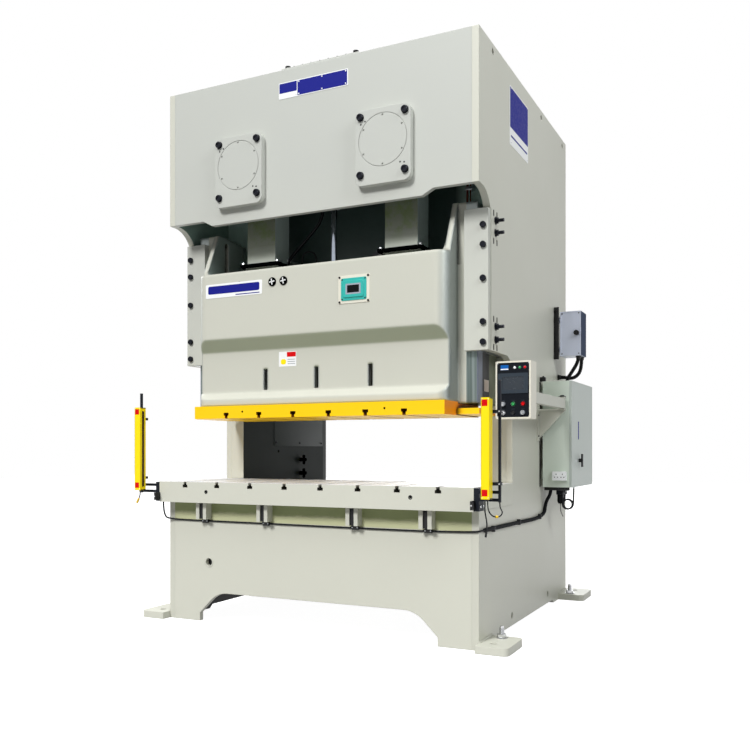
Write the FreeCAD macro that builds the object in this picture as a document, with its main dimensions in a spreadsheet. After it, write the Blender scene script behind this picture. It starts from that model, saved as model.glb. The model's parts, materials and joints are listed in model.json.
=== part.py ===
import FreeCAD, Part
import math
import os

import Sketcher

# Two-point stamping press with an open-front (gap) frame of welded plate.
# Lengths are millimetres.  +Z is up, -Y is the operator's side, and the origin
# lies on the floor in the middle of the four anchor holes.
# Values that end in _y are distances back from the plane of the bed's front.

document = FreeCAD.newDocument("stamping_press")
Vector = FreeCAD.Vector

DIMENSIONS = {
    # frame
    "press_height": 4160,
    "press_depth": 2444,
    "half_width": 1295,
    "side_thickness": 50,
    "front_thickness": 40,
    "foot_run": 450,
    "relief_height": 30,
    "relief_slope": 40,
    "table_top": 930,
    "table_thickness": 140,
    "throat_depth": 760,
    "throat_top": 2025,
    "throat_fillet": 150,
    "gib_seat_y": 260,
    "chin_height": 3120,
    "chin_fillet": 200,
    "lifting_hole_radius": 22,
    "lifting_hole_drop": 55,
    "sling_hole_radius": 25,
    "sling_hole_height": 104,
    "column_inner": 1120,
    "column_rear_y": 2163,
    "column_top": 2500,
    "column_front_plate": 25,
    "column_plate": 20,
    # bed
    "arch_half_width": 1000,
    "arch_foot_height": 62,
    "arch_top_half": 834,
    "arch_height": 228,
    "arch_corner": 220,
    "bed_port_x": 911,
    "bed_port_height": 463,
    "bed_port_radius": 31,
    "rib_x": 500,
    "rib_thickness": 30,
    # crown
    "crown_bottom": 3077,
    "notch_inner": 884,
    "notch_outer": 967,
    "crown_top_thickness": 25,
    "crown_rear_bottom": 2130,
    "web_y": 715,
    "web_bottom": 2560,
    "web_shoulder": 3020,
    "web_half_width": 1100,
    # feet
    "foot_width": 223,
    "foot_length": 364,
    "foot_far_y": 1305,
    "foot_thickness": 52,
    "foot_corner": 45,
    "anchor_half_x": 1388,
    "anchor_half_y": 1191,
    "anchor_hole_radius": 24,
    "jack_half_x": 1383,
    "jack_half_y": 1004,
    "jack_radius": 18,
    "jack_height": 135,
    "jack_nut_height": 30,
    "jack_nut_radius": 34,
    # bolster
    "bolster_half_width": 1300,
    "bolster_thickness": 160,
    "bolster_overhang": 120,
    "bolster_gap": 10,
    "slot_pitch": 300,
    "slot_count_bolster": 8,
    "slot_count_slide": 6,
    "slot_neck": 27,
    "slot_head": 46,
    "slot_neck_depth": 22,
    "slot_depth": 44,
    "dowel_radius": 8,
    "dowel_depth": 40,
    "bolster_dowel_x": 850,
    "bolster_dowel_height": 1016,
    # gibs and guides
    "gib_inner": 1113,
    "gib_outer": 1290,
    "gib_thickness": 50,
    "gib_top": 3004,
    "guide_clearance": 0.5,
    "gib_bolt_x": 1253,
    "adjuster_y": 354,
    "adjuster_length": 62,
    "adjuster_radius": 12,
    "lock_nut": 22,
    # crank covers
    "crank_x": 607,
    "crank_height": 3494,
    "cover_width": 428,
    "cover_height": 530,
    "cover_centre": 3454,
    "cover_thickness": 47,
    "cover_corner": 52,
    "cover_bolt_dx": 171.5,
    "cover_bolt_dz": 204,
    "cover_bolt_centre": 3467,
    "cap_radius": 187,
    "cap_groove_width": 4,
    "cap_groove_depth": 3,
    "cap_screw_circle": 171,
    "cap_screw_radius": 7,
    "cap_screw_depth": 6,
    "bolt_radius": 15,
    "bolt_head": 17,
    "bolt_shank_radius": 9,
    "bolt_clearance": 0.5,
    # crankshafts, main gears and drive
    "crank_throw": 100,
    "journal_radius": 120,
    "journal_clearance": 0.05,
    "bush_wall": 30,
    "crank_web_radius": 230,
    "crank_web_front_y": 190,
    "crank_web": 72,
    "pin_radius": 105,
    "rod_side_gap": 8,
    "journal_end": 25,
    "bush_depth": 100,
    "rod_depth": 203,
    "rod_width": 260,
    "rod_block_bottom": 2810,
    "rod_eye_radius": 175,
    "rod_flange": 30,
    "rod_flange_width": 300,
    "rod_screw_radius": 70,
    "rod_ball_radius": 95,
    "rod_ball_height": 2460,
    "gear_y": 775,
    "gear_face": 140,
    "gear_teeth": 61,
    "pinion_teeth": 15,
    "tooth_backlash": 2,
    "tooth_addendum_share": 0.9,
    "tooth_dedendum_share": 1.15,
    "gear_rim": 70,
    "gear_web": 50,
    "gear_hub_radius": 210,
    "gear_hole_radius": 95,
    "gear_hole_circle": 375,
    "shaft_radius": 55,
    "shaft_nose": 4,
    "shaft_tail": 30,
    "pinion_angle": 240,
    "flywheel_radius": 450,
    "flywheel_width": 120,
    "flywheel_gap": 56,
    "flywheel_rim": 80,
    "flywheel_web": 40,
    "flywheel_hub_radius": 120,
    "bearing_flange": 24,
    "bearing_wall": 40,
    "belt_width": 100,
    "belt_thickness": 14,
    "belt_clearance": 0.3,
    "motor_x": 560,
    "motor_height": 3300,
    "motor_radius": 180,
    "motor_length": 560,
    "motor_gap": 60,
    "motor_shaft_radius": 24,
    "motor_shaft_depth": 40,
    "motor_pulley_radius": 90,
    "motor_fin_radius": 12,
    "motor_fin_end": 60,
    "motor_seat_half": 150,
    "motor_seat_end": 90,
    "motor_seat_thickness": 50,
    "motor_seat_sink": 20,
    "terminal_half": 70,
    "terminal_front": 330,
    "terminal_rear": 170,
    "terminal_height": 60,
    "shelf_half": 260,
    "shelf_thickness": 25,
    "gusset_x": 240,
    "gusset_drop": 395,
    "gusset_half": 10,
    # slide
    "slide_half_width": 1050,
    "slide_front_y": 20,
    "slide_lower_y": 88,
    "slide_rear_y": 690,
    "slide_wall": 40,
    "slide_bottom": 1579,
    "face_thickness": 96,
    "flange_top": 1727,
    "strip_top": 1783,
    "step_bottom": 2100,
    "step_top": 2194,
    "panel_top": 2704,
    "slide_corner": 90,
    "ear_top": 3080,
    "ear_front_y": 262,
    "ear_foot_y": 107,
    "ear_rear_y": 600,
    "ear_slot_y": 366,
    "ear_slot_width": 50,
    "ear_slot_top": 3033,
    "ear_fillet": 60,
    "ear_fillet_depth": 60,
    "wing_outer": 1196,
    "wing_rear_y": 700,
    "wing_bottom": 1664,
    "knockout_x": 447,
    "knockout_width": 35,
    "knockout_bottom": 1795,
    "knockout_top": 1955,
    "well_floor": 2300,
    "well_half": 240,
    "well_margin": 40,
    "slide_floor": 1790,
    "slide_rib_x": 300,
    "slide_rib_half": 15,
    "face_dowel_x": 600,
    "face_dowel_height": 1628,
    "bar_outer": 1217,
    "bar_bottom": 1586,
    "bar_thickness": 42,
    "bar_front_y": 235,
    # counterbalance
    "balance_y": 360,
    "balance_rod_radius": 22,
    "balance_tube_radius": 110,
    "balance_bore_radius": 85,
    "balance_bottom": 3262,
    "balance_cap": 60,
    "balance_drop": 160,
    "balance_flange": 30,
    "balance_flange_half": 140,
    "balance_piston_drop": 260,
    "balance_piston": 60,
    "balance_collar": 24,
    "balance_flange_low": 220,
    "balance_flange_high": 200,
    "balance_lug_top": 2500,
    "balance_lug_half": 90,
    # hatch on the crown
    "hatch_centre_x": 70,
    "hatch_half_width": 320,
    "hatch_front_y": 6,
    "hatch_rear_y": 640,
    "hatch_thickness": 12,
    "hatch_margin": 60,
    "hatch_knob_radius": 16,
    "hatch_knob_height": 26,
    "hatch_knob_inset": 35,
    # counter
    "counter_x": 350,
    "counter_height": 2487,
    "counter_plate_width": 252,
    "counter_plate_height": 200,
    "counter_plate": 3,
    "counter_width": 197,
    "counter_body_height": 166,
    "counter_depth": 16,
    # electric cabinet
    "cabinet_inner": 1321,
    "cabinet_outer": 1540,
    "cabinet_front_y": 1529,
    "cabinet_rear_y": 2330,
    "cabinet_bottom": 1030,
    "cabinet_top": 1902,
    "cabinet_wall": 3,
    "cabinet_door_depth": 18,
    "cabinet_door_gap": 1,
    "cabinet_lip": 20,
    "hinge_radius": 7,
    "hinge_pin_radius": 3.5,
    "hinge_length": 70,
    "handle_y": 1803,
    "handle_height": 1248,
    "handle_radius": 8,
    "handle_standoff": 20,
    "handle_grip": 14,
    "handle_grip_half": 55,
    "mount_inset_y": 90,
    "mount_inset_z": 110,
    "outlet_inner": 1406,
    "outlet_outer": 1523,
    "outlet_bottom": 1086,
    "outlet_top": 1162,
    "outlet_depth": 22,
    # small switch box
    "switch_box_inner": 1352,
    "switch_box_outer": 1533,
    "switch_box_front_y": 1994,
    "switch_box_rear_y": 2198,
    "switch_box_bottom": 2157,
    "switch_box_top": 2542,
    "switch_knob_x": 1497.5,
    "switch_knob_height": 2352,
    "switch_knob_radius": 22,
    "switch_spindle_radius": 6,
    # pendant
    "pendant_inner": 1310,
    "pendant_outer": 1560,
    "pendant_front_y": 312,
    "pendant_rear_y": 452,
    "pendant_bottom": 1550,
    "pendant_top": 1949,
    "arm_inset": 62,
    "arm_height": 1711,
    "arm_depth": 80,
    "arm_width": 50,
    "pivot_y": 1465,
    "pivot_radius": 12,
    "pivot_clearance": 0.05,
    "pivot_gap": 1,
    "bracket_shelf": 14,
    "bracket_wall": 12,
    "bracket_drop": 260,
    "bracket_gusset_half": 6,
    # light curtains
    "curtain_x": 1418,
    "curtain_y": -208,
    "curtain_width": 57,
    "curtain_depth": 62,
    "curtain_bottom": 1022,
    "curtain_top": 1667,
    "post_x": 1478,
    "post_y": -125,
    "post_side": 16,
    "post_bottom": 998,
    "post_top": 1785,
    # die-lifter brackets
    "lifter_inner_x": 376,
    "lifter_outer_x": 936,
    "lifter_gap": 66,
    "lifter_plate": 30,
    "lifter_bottom": 800,
    "lifter_top": 925,
    "lifter_depth": 70,
    # cables along the bed
    "clip_half": 28,
    "clip_depth": 19,
    "clip_bottom": 768,
    "clip_top": 799.5,
    # air unit under the cabinet
    "air_x": 1404,
    "air_half": 30,
    "filter_y": 1795,
    "regulator_y": 1885,
    "air_head": 74,
    "filter_bottom": 880,
    "regulator_bottom": 902,
    "gauge_end": 1452,
    "gauge_radius": 20,
    "drain_bottom": 770,
}

sheet = document.addObject("Spreadsheet::Sheet", "Sizes")
for row, (alias, value) in enumerate(DIMENSIONS.items(), start=1):
    sheet.set(f"A{row}", alias)
    sheet.set(f"B{row}", str(value))
    sheet.setAlias(f"B{row}", alias)
document.recompute()


# ---------------------------------------------------------------- formulas

class Size:
    """A number that keeps the sheet formula it was worked out with."""

    def __init__(self, value, formula):
        self.value = value
        self.formula = formula

    def __float__(self):
        return self.value

    def __add__(self, other):
        other = as_size(other)
        return Size(self.value + other.value, f"({self.formula} + {other.formula})")

    def __sub__(self, other):
        other = as_size(other)
        return Size(self.value - other.value, f"({self.formula} - {other.formula})")

    def __mul__(self, other):
        other = as_size(other)
        return Size(self.value * other.value, f"({self.formula} * {other.formula})")

    def __truediv__(self, other):
        other = as_size(other)
        return Size(self.value / other.value, f"({self.formula} / {other.formula})")

    def __neg__(self):
        return Size(-self.value, f"(-1 * {self.formula})")

    def __radd__(self, other):
        return as_size(other) + self

    def __rsub__(self, other):
        return as_size(other) - self

    def __rmul__(self, other):
        return as_size(other) * self


def as_size(number):
    """Give a plain number the same shape as a sheet value."""
    if isinstance(number, Size):
        return number
    return Size(float(number), f"({float(number)!r})")


class Sizes:
    """Reads the sheet: S.press_height is the cell with that alias."""

    def __getattr__(self, alias):
        return Size(float(sheet.get(alias)), "Sizes." + alias)


S = Sizes()


def back(distance):
    """Model Y of a distance behind the plane of the bed's front."""
    return distance - S.press_depth / 2


def bind(target, path, size):
    target.setExpression(path, as_size(size).formula)


# ---------------------------------------------------------------- shapes

BITE = 1  # how far joined solids and cutting tools reach past a face
AXES = ("x", "y", "z")
TURN_FROM_Z = {
    "x": FreeCAD.Rotation(Vector(0, 1, 0), 90),
    "y": FreeCAD.Rotation(Vector(1, 0, 0), -90),
    "z": FreeCAD.Rotation(),
}
PLANE_NORMAL = {"YZ": "x", "XZ": "y", "XY": "z"}


def place(target, x=0, y=0, z=0):
    """Bind the position of a shape, leaving its rotation as it is."""
    for axis, size in zip(AXES, (x, y, z)):
        bind(target, f"Placement.Base.{axis}", size)


def box(x, y, z):
    """A block between three (low, high) pairs."""
    block = document.addObject("Part::Box", "Block")
    for name, (low, high) in zip(("Length", "Width", "Height"), (x, y, z)):
        bind(block, name, as_size(high) - low)
    place(block, x[0], y[0], z[0])
    return block


def along(axis, first, second, start):
    """Coordinates of a point given across an axis and along it."""
    if axis == "x":
        return start, first, second
    if axis == "y":
        return first, start, second
    return first, second, start


def rod(axis, first, second, start, end, radius):
    """A round bar along an axis; first and second place its centre line."""
    bar = document.addObject("Part::Cylinder", "Bar")
    bind(bar, "Radius", radius)
    bind(bar, "Height", as_size(end) - start)
    bar.Placement = FreeCAD.Placement(Vector(), TURN_FROM_Z[axis])
    place(bar, *along(axis, first, second, start))
    return bar


def hexagon(axis, first, second, start, end, radius):
    """A six-sided bar, radius measured over the corners."""
    bar = document.addObject("Part::Prism", "Hexagon")
    bar.Polygon = 6
    bind(bar, "Circumradius", radius)
    bind(bar, "Height", as_size(end) - start)
    bar.Placement = FreeCAD.Placement(Vector(), TURN_FROM_Z[axis])
    place(bar, *along(axis, first, second, start))
    return bar


def ball(x, y, z, radius):
    sphere = document.addObject("Part::Sphere", "Ball")
    bind(sphere, "Radius", radius)
    place(sphere, x, y, z)
    return sphere


def group(parts):
    """Separate solids kept together as one sub-part."""
    bundle = document.addObject("Part::Compound", "Group")
    bundle.Links = parts
    return bundle


def fuse(parts):
    union = document.addObject("Part::MultiFuse", "Union")
    union.Shapes = parts
    union.Refine = True
    return union


def cut(base, tools):
    remainder = document.addObject("Part::Cut", "Remainder")
    remainder.Base = base
    remainder.Tool = tools[0] if len(tools) == 1 else fuse(tools)
    remainder.Refine = True
    return remainder


def common(first, second):
    shared = document.addObject("Part::Common", "Shared")
    shared.Base = first
    shared.Tool = second
    return shared


# ---------------------------------------------------------------- sketches

def new_sketch(body, plane):
    sketch = body.newObject("Sketcher::SketchObject", "Outline")
    role = plane + "_Plane"
    base = [part for part in body.Origin.OriginFeatures if part.Role == role][0]
    sketch.AttachmentSupport = [(base, "")]
    sketch.MapMode = "FlatFace"
    return sketch


def pin_point(sketch, constraints, formulas, element, position, where):
    """Fix one sketch point at a (u, v) pair of sizes."""
    for kind, size in zip(("DistanceX", "DistanceY"), where):
        size = as_size(size)
        formulas[len(constraints)] = size.formula
        constraints.append(
            Sketcher.Constraint(kind, -1, 1, element, position, size.value))


def apply_constraints(sketch, constraints, formulas):
    first = sketch.ConstraintCount
    sketch.addConstraint(constraints)
    for index, formula in formulas.items():
        sketch.setExpression(f"Constraints[{first + index}]", formula)


def rounded_corner(before, corner, after, radius):
    """Start, end, centre and turning sense of the arc in one corner."""
    to_before = (before - corner).normalize()
    to_after = (after - corner).normalize()
    half_angle = to_before.getAngle(to_after) / 2
    reach = radius / math.tan(half_angle)
    middle = (to_before + to_after).normalize()
    centre = corner + middle * (radius / math.sin(half_angle))
    turns_left = to_before.cross(to_after).z < 0
    return corner + to_before * reach, corner + to_after * reach, centre, turns_left


def draw_outline(sketch, corners):
    """Draw a closed outline of (u, v) corners; (u, v, radius) is rounded."""
    count = len(corners)
    points = [Vector(float(c[0]), float(c[1]), 0) for c in corners]
    arcs = {}
    for index, corner in enumerate(corners):
        if len(corner) == 3:
            arcs[index] = rounded_corner(
                points[index - 1], points[index], points[(index + 1) % count],
                float(corner[2]))
    lines = []
    for index in range(count):
        following = (index + 1) % count
        start = arcs[index][1] if index in arcs else points[index]
        end = arcs[following][0] if following in arcs else points[following]
        lines.append(sketch.addGeometry(Part.LineSegment(start, end), False))
    constraints = []
    formulas = {}
    for index, corner in enumerate(corners):
        line_in = lines[index - 1]
        line_out = lines[index]
        if index not in arcs:
            constraints.append(Sketcher.Constraint("Coincident", line_in, 2, line_out, 1))
            pin_point(sketch, constraints, formulas, line_out, 1, corner[:2])
            continue
        start, end, centre, turns_left = arcs[index]
        first, last = (start, end) if turns_left else (end, start)
        angles = [math.atan2(p.y - centre.y, p.x - centre.x) for p in (first, last)]
        if angles[1] < angles[0]:
            angles[1] += 2 * math.pi
        circle = Part.Circle(centre, Vector(0, 0, 1), float(corner[2]))
        arc = sketch.addGeometry(Part.ArcOfCircle(circle, *angles), False)
        apex = sketch.addGeometry(Part.Point(points[index]), True)
        near, far = (1, 2) if turns_left else (2, 1)
        constraints.append(Sketcher.Constraint("Tangent", line_in, 2, arc, near))
        constraints.append(Sketcher.Constraint("Tangent", line_out, 1, arc, far))
        formulas[len(constraints)] = as_size(corner[2]).formula
        constraints.append(Sketcher.Constraint("Radius", arc, float(corner[2])))
        pin_point(sketch, constraints, formulas, apex, 1, corner[:2])
        constraints.append(Sketcher.Constraint("PointOnObject", apex, 1, line_in))
        constraints.append(Sketcher.Constraint("PointOnObject", apex, 1, line_out))
    apply_constraints(sketch, constraints, formulas)


def draw_circle(sketch, u, v, radius):
    centre = Vector(float(u), float(v), 0)
    circle = sketch.addGeometry(
        Part.Circle(centre, Vector(0, 0, 1), float(radius)), False)
    constraints = []
    formulas = {}
    pin_point(sketch, constraints, formulas, circle, 3, (u, v))
    formulas[len(constraints)] = as_size(radius).formula
    constraints.append(Sketcher.Constraint("Radius", circle, float(radius)))
    apply_constraints(sketch, constraints, formulas)


def plate(plane, corners, low, high, holes=(), windows=()):
    """A padded plate: its outline lies in the plane, low to high across it.

    A hole is (u, v, radius) and a window is a list of corners.
    """
    body = document.addObject("PartDesign::Body", "Plate")
    sketch = new_sketch(body, plane)
    draw_outline(sketch, corners)
    for hole in holes:
        draw_circle(sketch, *hole)
    for window in windows:
        draw_outline(sketch, window)
    pad = body.newObject("PartDesign::Pad", "Pad")
    pad.Profile = sketch
    pad.Reversed = plane == "XZ"
    bind(pad, "Length", as_size(high) - low)
    offset = {PLANE_NORMAL[plane]: low}
    place(body, **offset)
    return body


def rectangle(u, v):
    """Corners of a rectangle between two (low, high) pairs."""
    return [(u[0], v[0]), (u[1], v[0]), (u[1], v[1]), (u[0], v[1])]


def mirrored_x(corners):
    """The same outline on the other side of the press."""
    return [(-as_size(c[0]),) + tuple(c[1:]) for c in corners]


SUBPARTS = []


def subpart(label, shape):
    """Name a finished piece; its label is the name of its file."""
    shape.Label = label
    SUBPARTS.append(shape)
    return shape


# ---------------------------------------------------------------- frame

SIDES = {"left": -1, "right": 1}
REAR = S.press_depth / 2
INNER_HALF = S.half_width - S.side_thickness
TABLE_UNDERSIDE = S.table_top - S.table_thickness
CROWN_UNDERSIDE = S.press_height - S.crown_top_thickness
GIB_BOLT_HEIGHTS = (2887, 2751, 2519, 2219, 2080)
ADJUSTER_HEIGHTS = (2943, 2857, 2199, 2108)
LIFTING_HOLES_Y = (293, 1581, 2309)
SLING_HOLES_Y = (750, 1792)


def side_outline():
    rear_foot = S.press_depth - S.foot_run
    outline = [
        (0, 0),
        (S.foot_run, 0),
        (S.foot_run + S.relief_slope, S.relief_height),
        (rear_foot - S.relief_slope, S.relief_height),
        (rear_foot, 0),
        (S.press_depth, 0),
        (S.press_depth, S.press_height),
        (0, S.press_height),
        (0, S.chin_height),
        (S.gib_seat_y, S.chin_height, S.chin_fillet),
        (S.gib_seat_y, S.throat_top),
        (S.throat_depth, S.throat_top, S.throat_fillet),
        (S.throat_depth, S.table_top),
        (0, S.table_top),
    ]
    return [(back(c[0]),) + tuple(c[1:]) for c in outline]


def side_plate(side):
    lifting = S.press_height - S.lifting_hole_drop
    holes = [(back(y), lifting, S.lifting_hole_radius) for y in LIFTING_HOLES_Y]
    holes += [(back(y), S.sling_hole_height, S.sling_hole_radius) for y in SLING_HOLES_Y]
    holes += [(back(S.adjuster_y), height, S.adjuster_radius + S.bolt_clearance)
              for height in ADJUSTER_HEIGHTS]
    low = -S.half_width if side < 0 else INNER_HALF
    high = low + S.side_thickness
    seat = back(S.gib_seat_y)
    gib_pocket = box((low - BITE, high + BITE), (seat - S.gib_thickness, seat),
                     (S.throat_top, S.gib_top))
    return cut(plate("YZ", side_outline(), low, high, holes), [gib_pocket])


def throat_column(side):
    front = back(S.throat_depth)
    rear = back(S.column_rear_y)
    inner = S.column_inner
    web = inner + S.column_plate
    outline = [
        (INNER_HALF, front),
        (inner, front),
        (inner, rear),
        (INNER_HALF, rear),
        (INNER_HALF, rear - S.column_plate),
        (web, rear - S.column_plate),
        (web, front + S.column_front_plate),
        (INNER_HALF, front + S.column_front_plate),
    ]
    if side < 0:
        outline = mirrored_x(outline)
    return plate("XY", outline, S.table_top, S.column_top)


def bed_end_outline():
    return [
        (-INNER_HALF, 0),
        (-S.arch_half_width, 0),
        (-S.arch_half_width, S.arch_foot_height),
        (-S.arch_top_half, S.arch_height, S.arch_corner),
        (S.arch_top_half, S.arch_height, S.arch_corner),
        (S.arch_half_width, S.arch_foot_height),
        (S.arch_half_width, 0),
        (INNER_HALF, 0),
        (INNER_HALF, TABLE_UNDERSIDE),
        (-INNER_HALF, TABLE_UNDERSIDE),
    ]


def crown_front_outline():
    return [
        (-INNER_HALF, S.chin_height),
        (-S.notch_outer, S.chin_height),
        (-S.notch_inner, S.crown_bottom),
        (S.notch_inner, S.crown_bottom),
        (S.notch_outer, S.chin_height),
        (INNER_HALF, S.chin_height),
        (INNER_HALF, S.press_height),
        (-INNER_HALF, S.press_height),
    ]


def crown_web_outline():
    return [
        (-S.web_half_width, S.web_bottom),
        (S.web_half_width, S.web_bottom),
        (S.web_half_width, S.web_shoulder),
        (INNER_HALF, S.web_shoulder),
        (INNER_HALF, CROWN_UNDERSIDE),
        (-INNER_HALF, CROWN_UNDERSIDE),
        (-INNER_HALF, S.web_shoulder),
        (-S.web_half_width, S.web_shoulder),
    ]


def lifter_brackets():
    """Pairs of ears on the bed's front that hold die lifters."""
    ears = []
    for x in (-S.lifter_outer_x, -S.lifter_inner_x, S.lifter_inner_x, S.lifter_outer_x):
        for side in (-1, 1):
            low = x + side * S.lifter_gap / 2 - S.lifter_plate / 2
            ears.append(box((low, low + S.lifter_plate),
                            (-REAR - S.lifter_depth, BITE - REAR),
                            (S.lifter_bottom, S.lifter_top)))
    return ears


BUSH_RADIUS = S.journal_radius + S.journal_clearance + S.bush_wall
WEB_FRONT = back(S.web_y)
WEB_REAR = WEB_FRONT + S.front_thickness
REAR_PLATE_FRONT = REAR - S.front_thickness

gear_module = 2 * S.crank_x / S.gear_teeth
pinion_reach = gear_module * (S.gear_teeth + S.pinion_teeth) / 2
pinion_turn = math.radians(float(S.pinion_angle))
SHAFT_X = S.crank_x + pinion_reach * math.cos(pinion_turn)
SHAFT_HEIGHT = S.crank_height + pinion_reach * math.sin(pinion_turn)
BEARING_RADIUS = S.shaft_radius + S.journal_clearance + S.bearing_wall


def build_frame():
    for name, side in SIDES.items():
        subpart(f"side_plate_{name}", side_plate(side))
    subpart("throat_columns", group([throat_column(side) for side in SIDES.values()]))

    port = (-S.bed_port_x, S.bed_port_height, S.bed_port_radius)
    subpart("bed_front_plate", plate(
        "XZ", bed_end_outline(), -REAR, S.front_thickness - REAR, [port]))
    subpart("bed_rear_plate", plate("XZ", bed_end_outline(), REAR_PLATE_FRONT, REAR))
    table = box((-INNER_HALF, INNER_HALF), (-REAR, REAR), (TABLE_UNDERSIDE, S.table_top))
    ribs = []
    for side in SIDES.values():
        middle = side * S.rib_x
        half = S.rib_thickness / 2
        ribs.append(box(
            (middle - half, middle + half),
            (S.front_thickness - REAR, REAR_PLATE_FRONT),
            (S.arch_height, TABLE_UNDERSIDE + BITE)))
    subpart("bed_table", fuse([table] + ribs + lifter_brackets()))

    bores = [(side * S.crank_x, S.crank_height, BUSH_RADIUS) for side in SIDES.values()]
    shaft_bore = (SHAFT_X, SHAFT_HEIGHT, BEARING_RADIUS)
    subpart("crown_front_plate", plate(
        "XZ", crown_front_outline(), -REAR, S.front_thickness - REAR, bores))
    subpart("crown_web_plate", plate(
        "XZ", crown_web_outline(), WEB_FRONT, WEB_REAR, bores + [shaft_bore]))
    motor_bore = (-S.motor_x, S.motor_height, S.motor_shaft_radius * 2)
    subpart("crown_rear_plate", plate(
        "XZ",
        rectangle((-INNER_HALF, INNER_HALF), (S.crown_rear_bottom, S.press_height)),
        REAR_PLATE_FRONT, REAR, [shaft_bore, motor_bore]))
    hatch_opening = rectangle(
        (S.hatch_centre_x - S.hatch_half_width + S.hatch_margin,
         S.hatch_centre_x + S.hatch_half_width - S.hatch_margin),
        (back(S.hatch_front_y + S.hatch_margin * 2),
         back(S.hatch_rear_y - S.hatch_margin)))
    subpart("crown_top_plate", plate(
        "XY",
        rectangle((-INNER_HALF, INNER_HALF),
                  (S.front_thickness - REAR, REAR_PLATE_FRONT)),
        CROWN_UNDERSIDE, S.press_height, windows=[hatch_opening]))


# ---------------------------------------------------------------- feet

def build_feet():
    plates = []
    jacks = []
    for side_x in (-1, 1):
        for side_y in (-1, 1):
            outer = S.half_width + S.foot_width
            x = (S.half_width, outer) if side_x > 0 else (-outer, -S.half_width)
            far = S.foot_far_y
            near = far - S.foot_length
            y = (near, far) if side_y > 0 else (-far, -near)
            corners = rectangle(x, y)
            rounded = (1, 2) if side_x > 0 else (0, 3)
            for index in rounded:
                corners[index] += (S.foot_corner,)
            plates.append(plate("XY", corners, 0, S.foot_thickness, [
                (side_x * S.anchor_half_x, side_y * S.anchor_half_y,
                 S.anchor_hole_radius),
                (side_x * S.jack_half_x, side_y * S.jack_half_y,
                 S.jack_radius + S.bolt_clearance)]))
            stud = rod("z", side_x * S.jack_half_x, side_y * S.jack_half_y,
                       0, S.jack_height, S.jack_radius)
            nut = hexagon("z", side_x * S.jack_half_x, side_y * S.jack_half_y,
                          S.foot_thickness, S.foot_thickness + S.jack_nut_height,
                          S.jack_nut_radius)
            jacks.append(fuse([stud, nut]))
    subpart("foot_plates", group(plates))
    subpart("levelling_jacks", group(jacks))


# ---------------------------------------------------------------- T-slots

def slotted_plate(x, y, z, count, face_up, dowels):
    """A plate with T-slots that run front to back in one face."""
    body = document.addObject("PartDesign::Body", "SlottedPlate")
    sketch = new_sketch(body, "XZ")
    draw_outline(sketch, rectangle(x, z))
    pad = body.newObject("PartDesign::Pad", "Pad")
    pad.Profile = sketch
    pad.Reversed = True
    bind(pad, "Length", as_size(y[1]) - y[0])

    centre = -S.slot_pitch * (count - 1) / 2
    face = z[1] if face_up else z[0]
    inward = -1 if face_up else 1
    neck = S.slot_neck / 2
    head = S.slot_head / 2
    shoulder = face + inward * S.slot_neck_depth
    floor = face + inward * S.slot_depth
    slot = new_sketch(body, "XZ")
    draw_outline(slot, [
        (centre - neck, face), (centre + neck, face),
        (centre + neck, shoulder), (centre + head, shoulder),
        (centre + head, floor), (centre - head, floor),
        (centre - head, shoulder), (centre - neck, shoulder)])
    pocket = body.newObject("PartDesign::Pocket", "Slot")
    pocket.Profile = slot
    pocket.Type = "ThroughAll"
    pocket.Reversed = False
    pocket.Midplane = True
    row = body.newObject("PartDesign::LinearPattern", "Slots")
    row.Originals = [pocket]
    axis = [part for part in body.Origin.OriginFeatures if part.Role == "X_Axis"][0]
    row.Direction = (axis, [""])
    bind(row, "Length", S.slot_pitch * (count - 1))
    bind(row, "Occurrences", count)
    body.Tip = row

    drilled = new_sketch(body, "XZ")
    for u, v in dowels:
        draw_circle(drilled, u, v, S.dowel_radius)
    bore = body.newObject("PartDesign::Pocket", "Dowels")
    bore.Profile = drilled
    bore.Type = "Length"
    bore.Reversed = False
    bind(bore, "Length", S.dowel_depth)
    body.Tip = bore
    place(body, y=y[0])
    return body


def build_bolster():
    half = S.bolster_half_width
    top = S.table_top + S.bolster_thickness
    dowels = [(side * S.bolster_dowel_x, S.bolster_dowel_height)
              for side in SIDES.values()]
    subpart("bolster_plate", slotted_plate(
        (-half, half),
        (back(-S.bolster_overhang), back(S.throat_depth - S.bolster_gap)),
        (S.table_top, top), S.slot_count_bolster, True, dowels))


# ---------------------------------------------------------------- guides

FASTENERS = []


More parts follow.
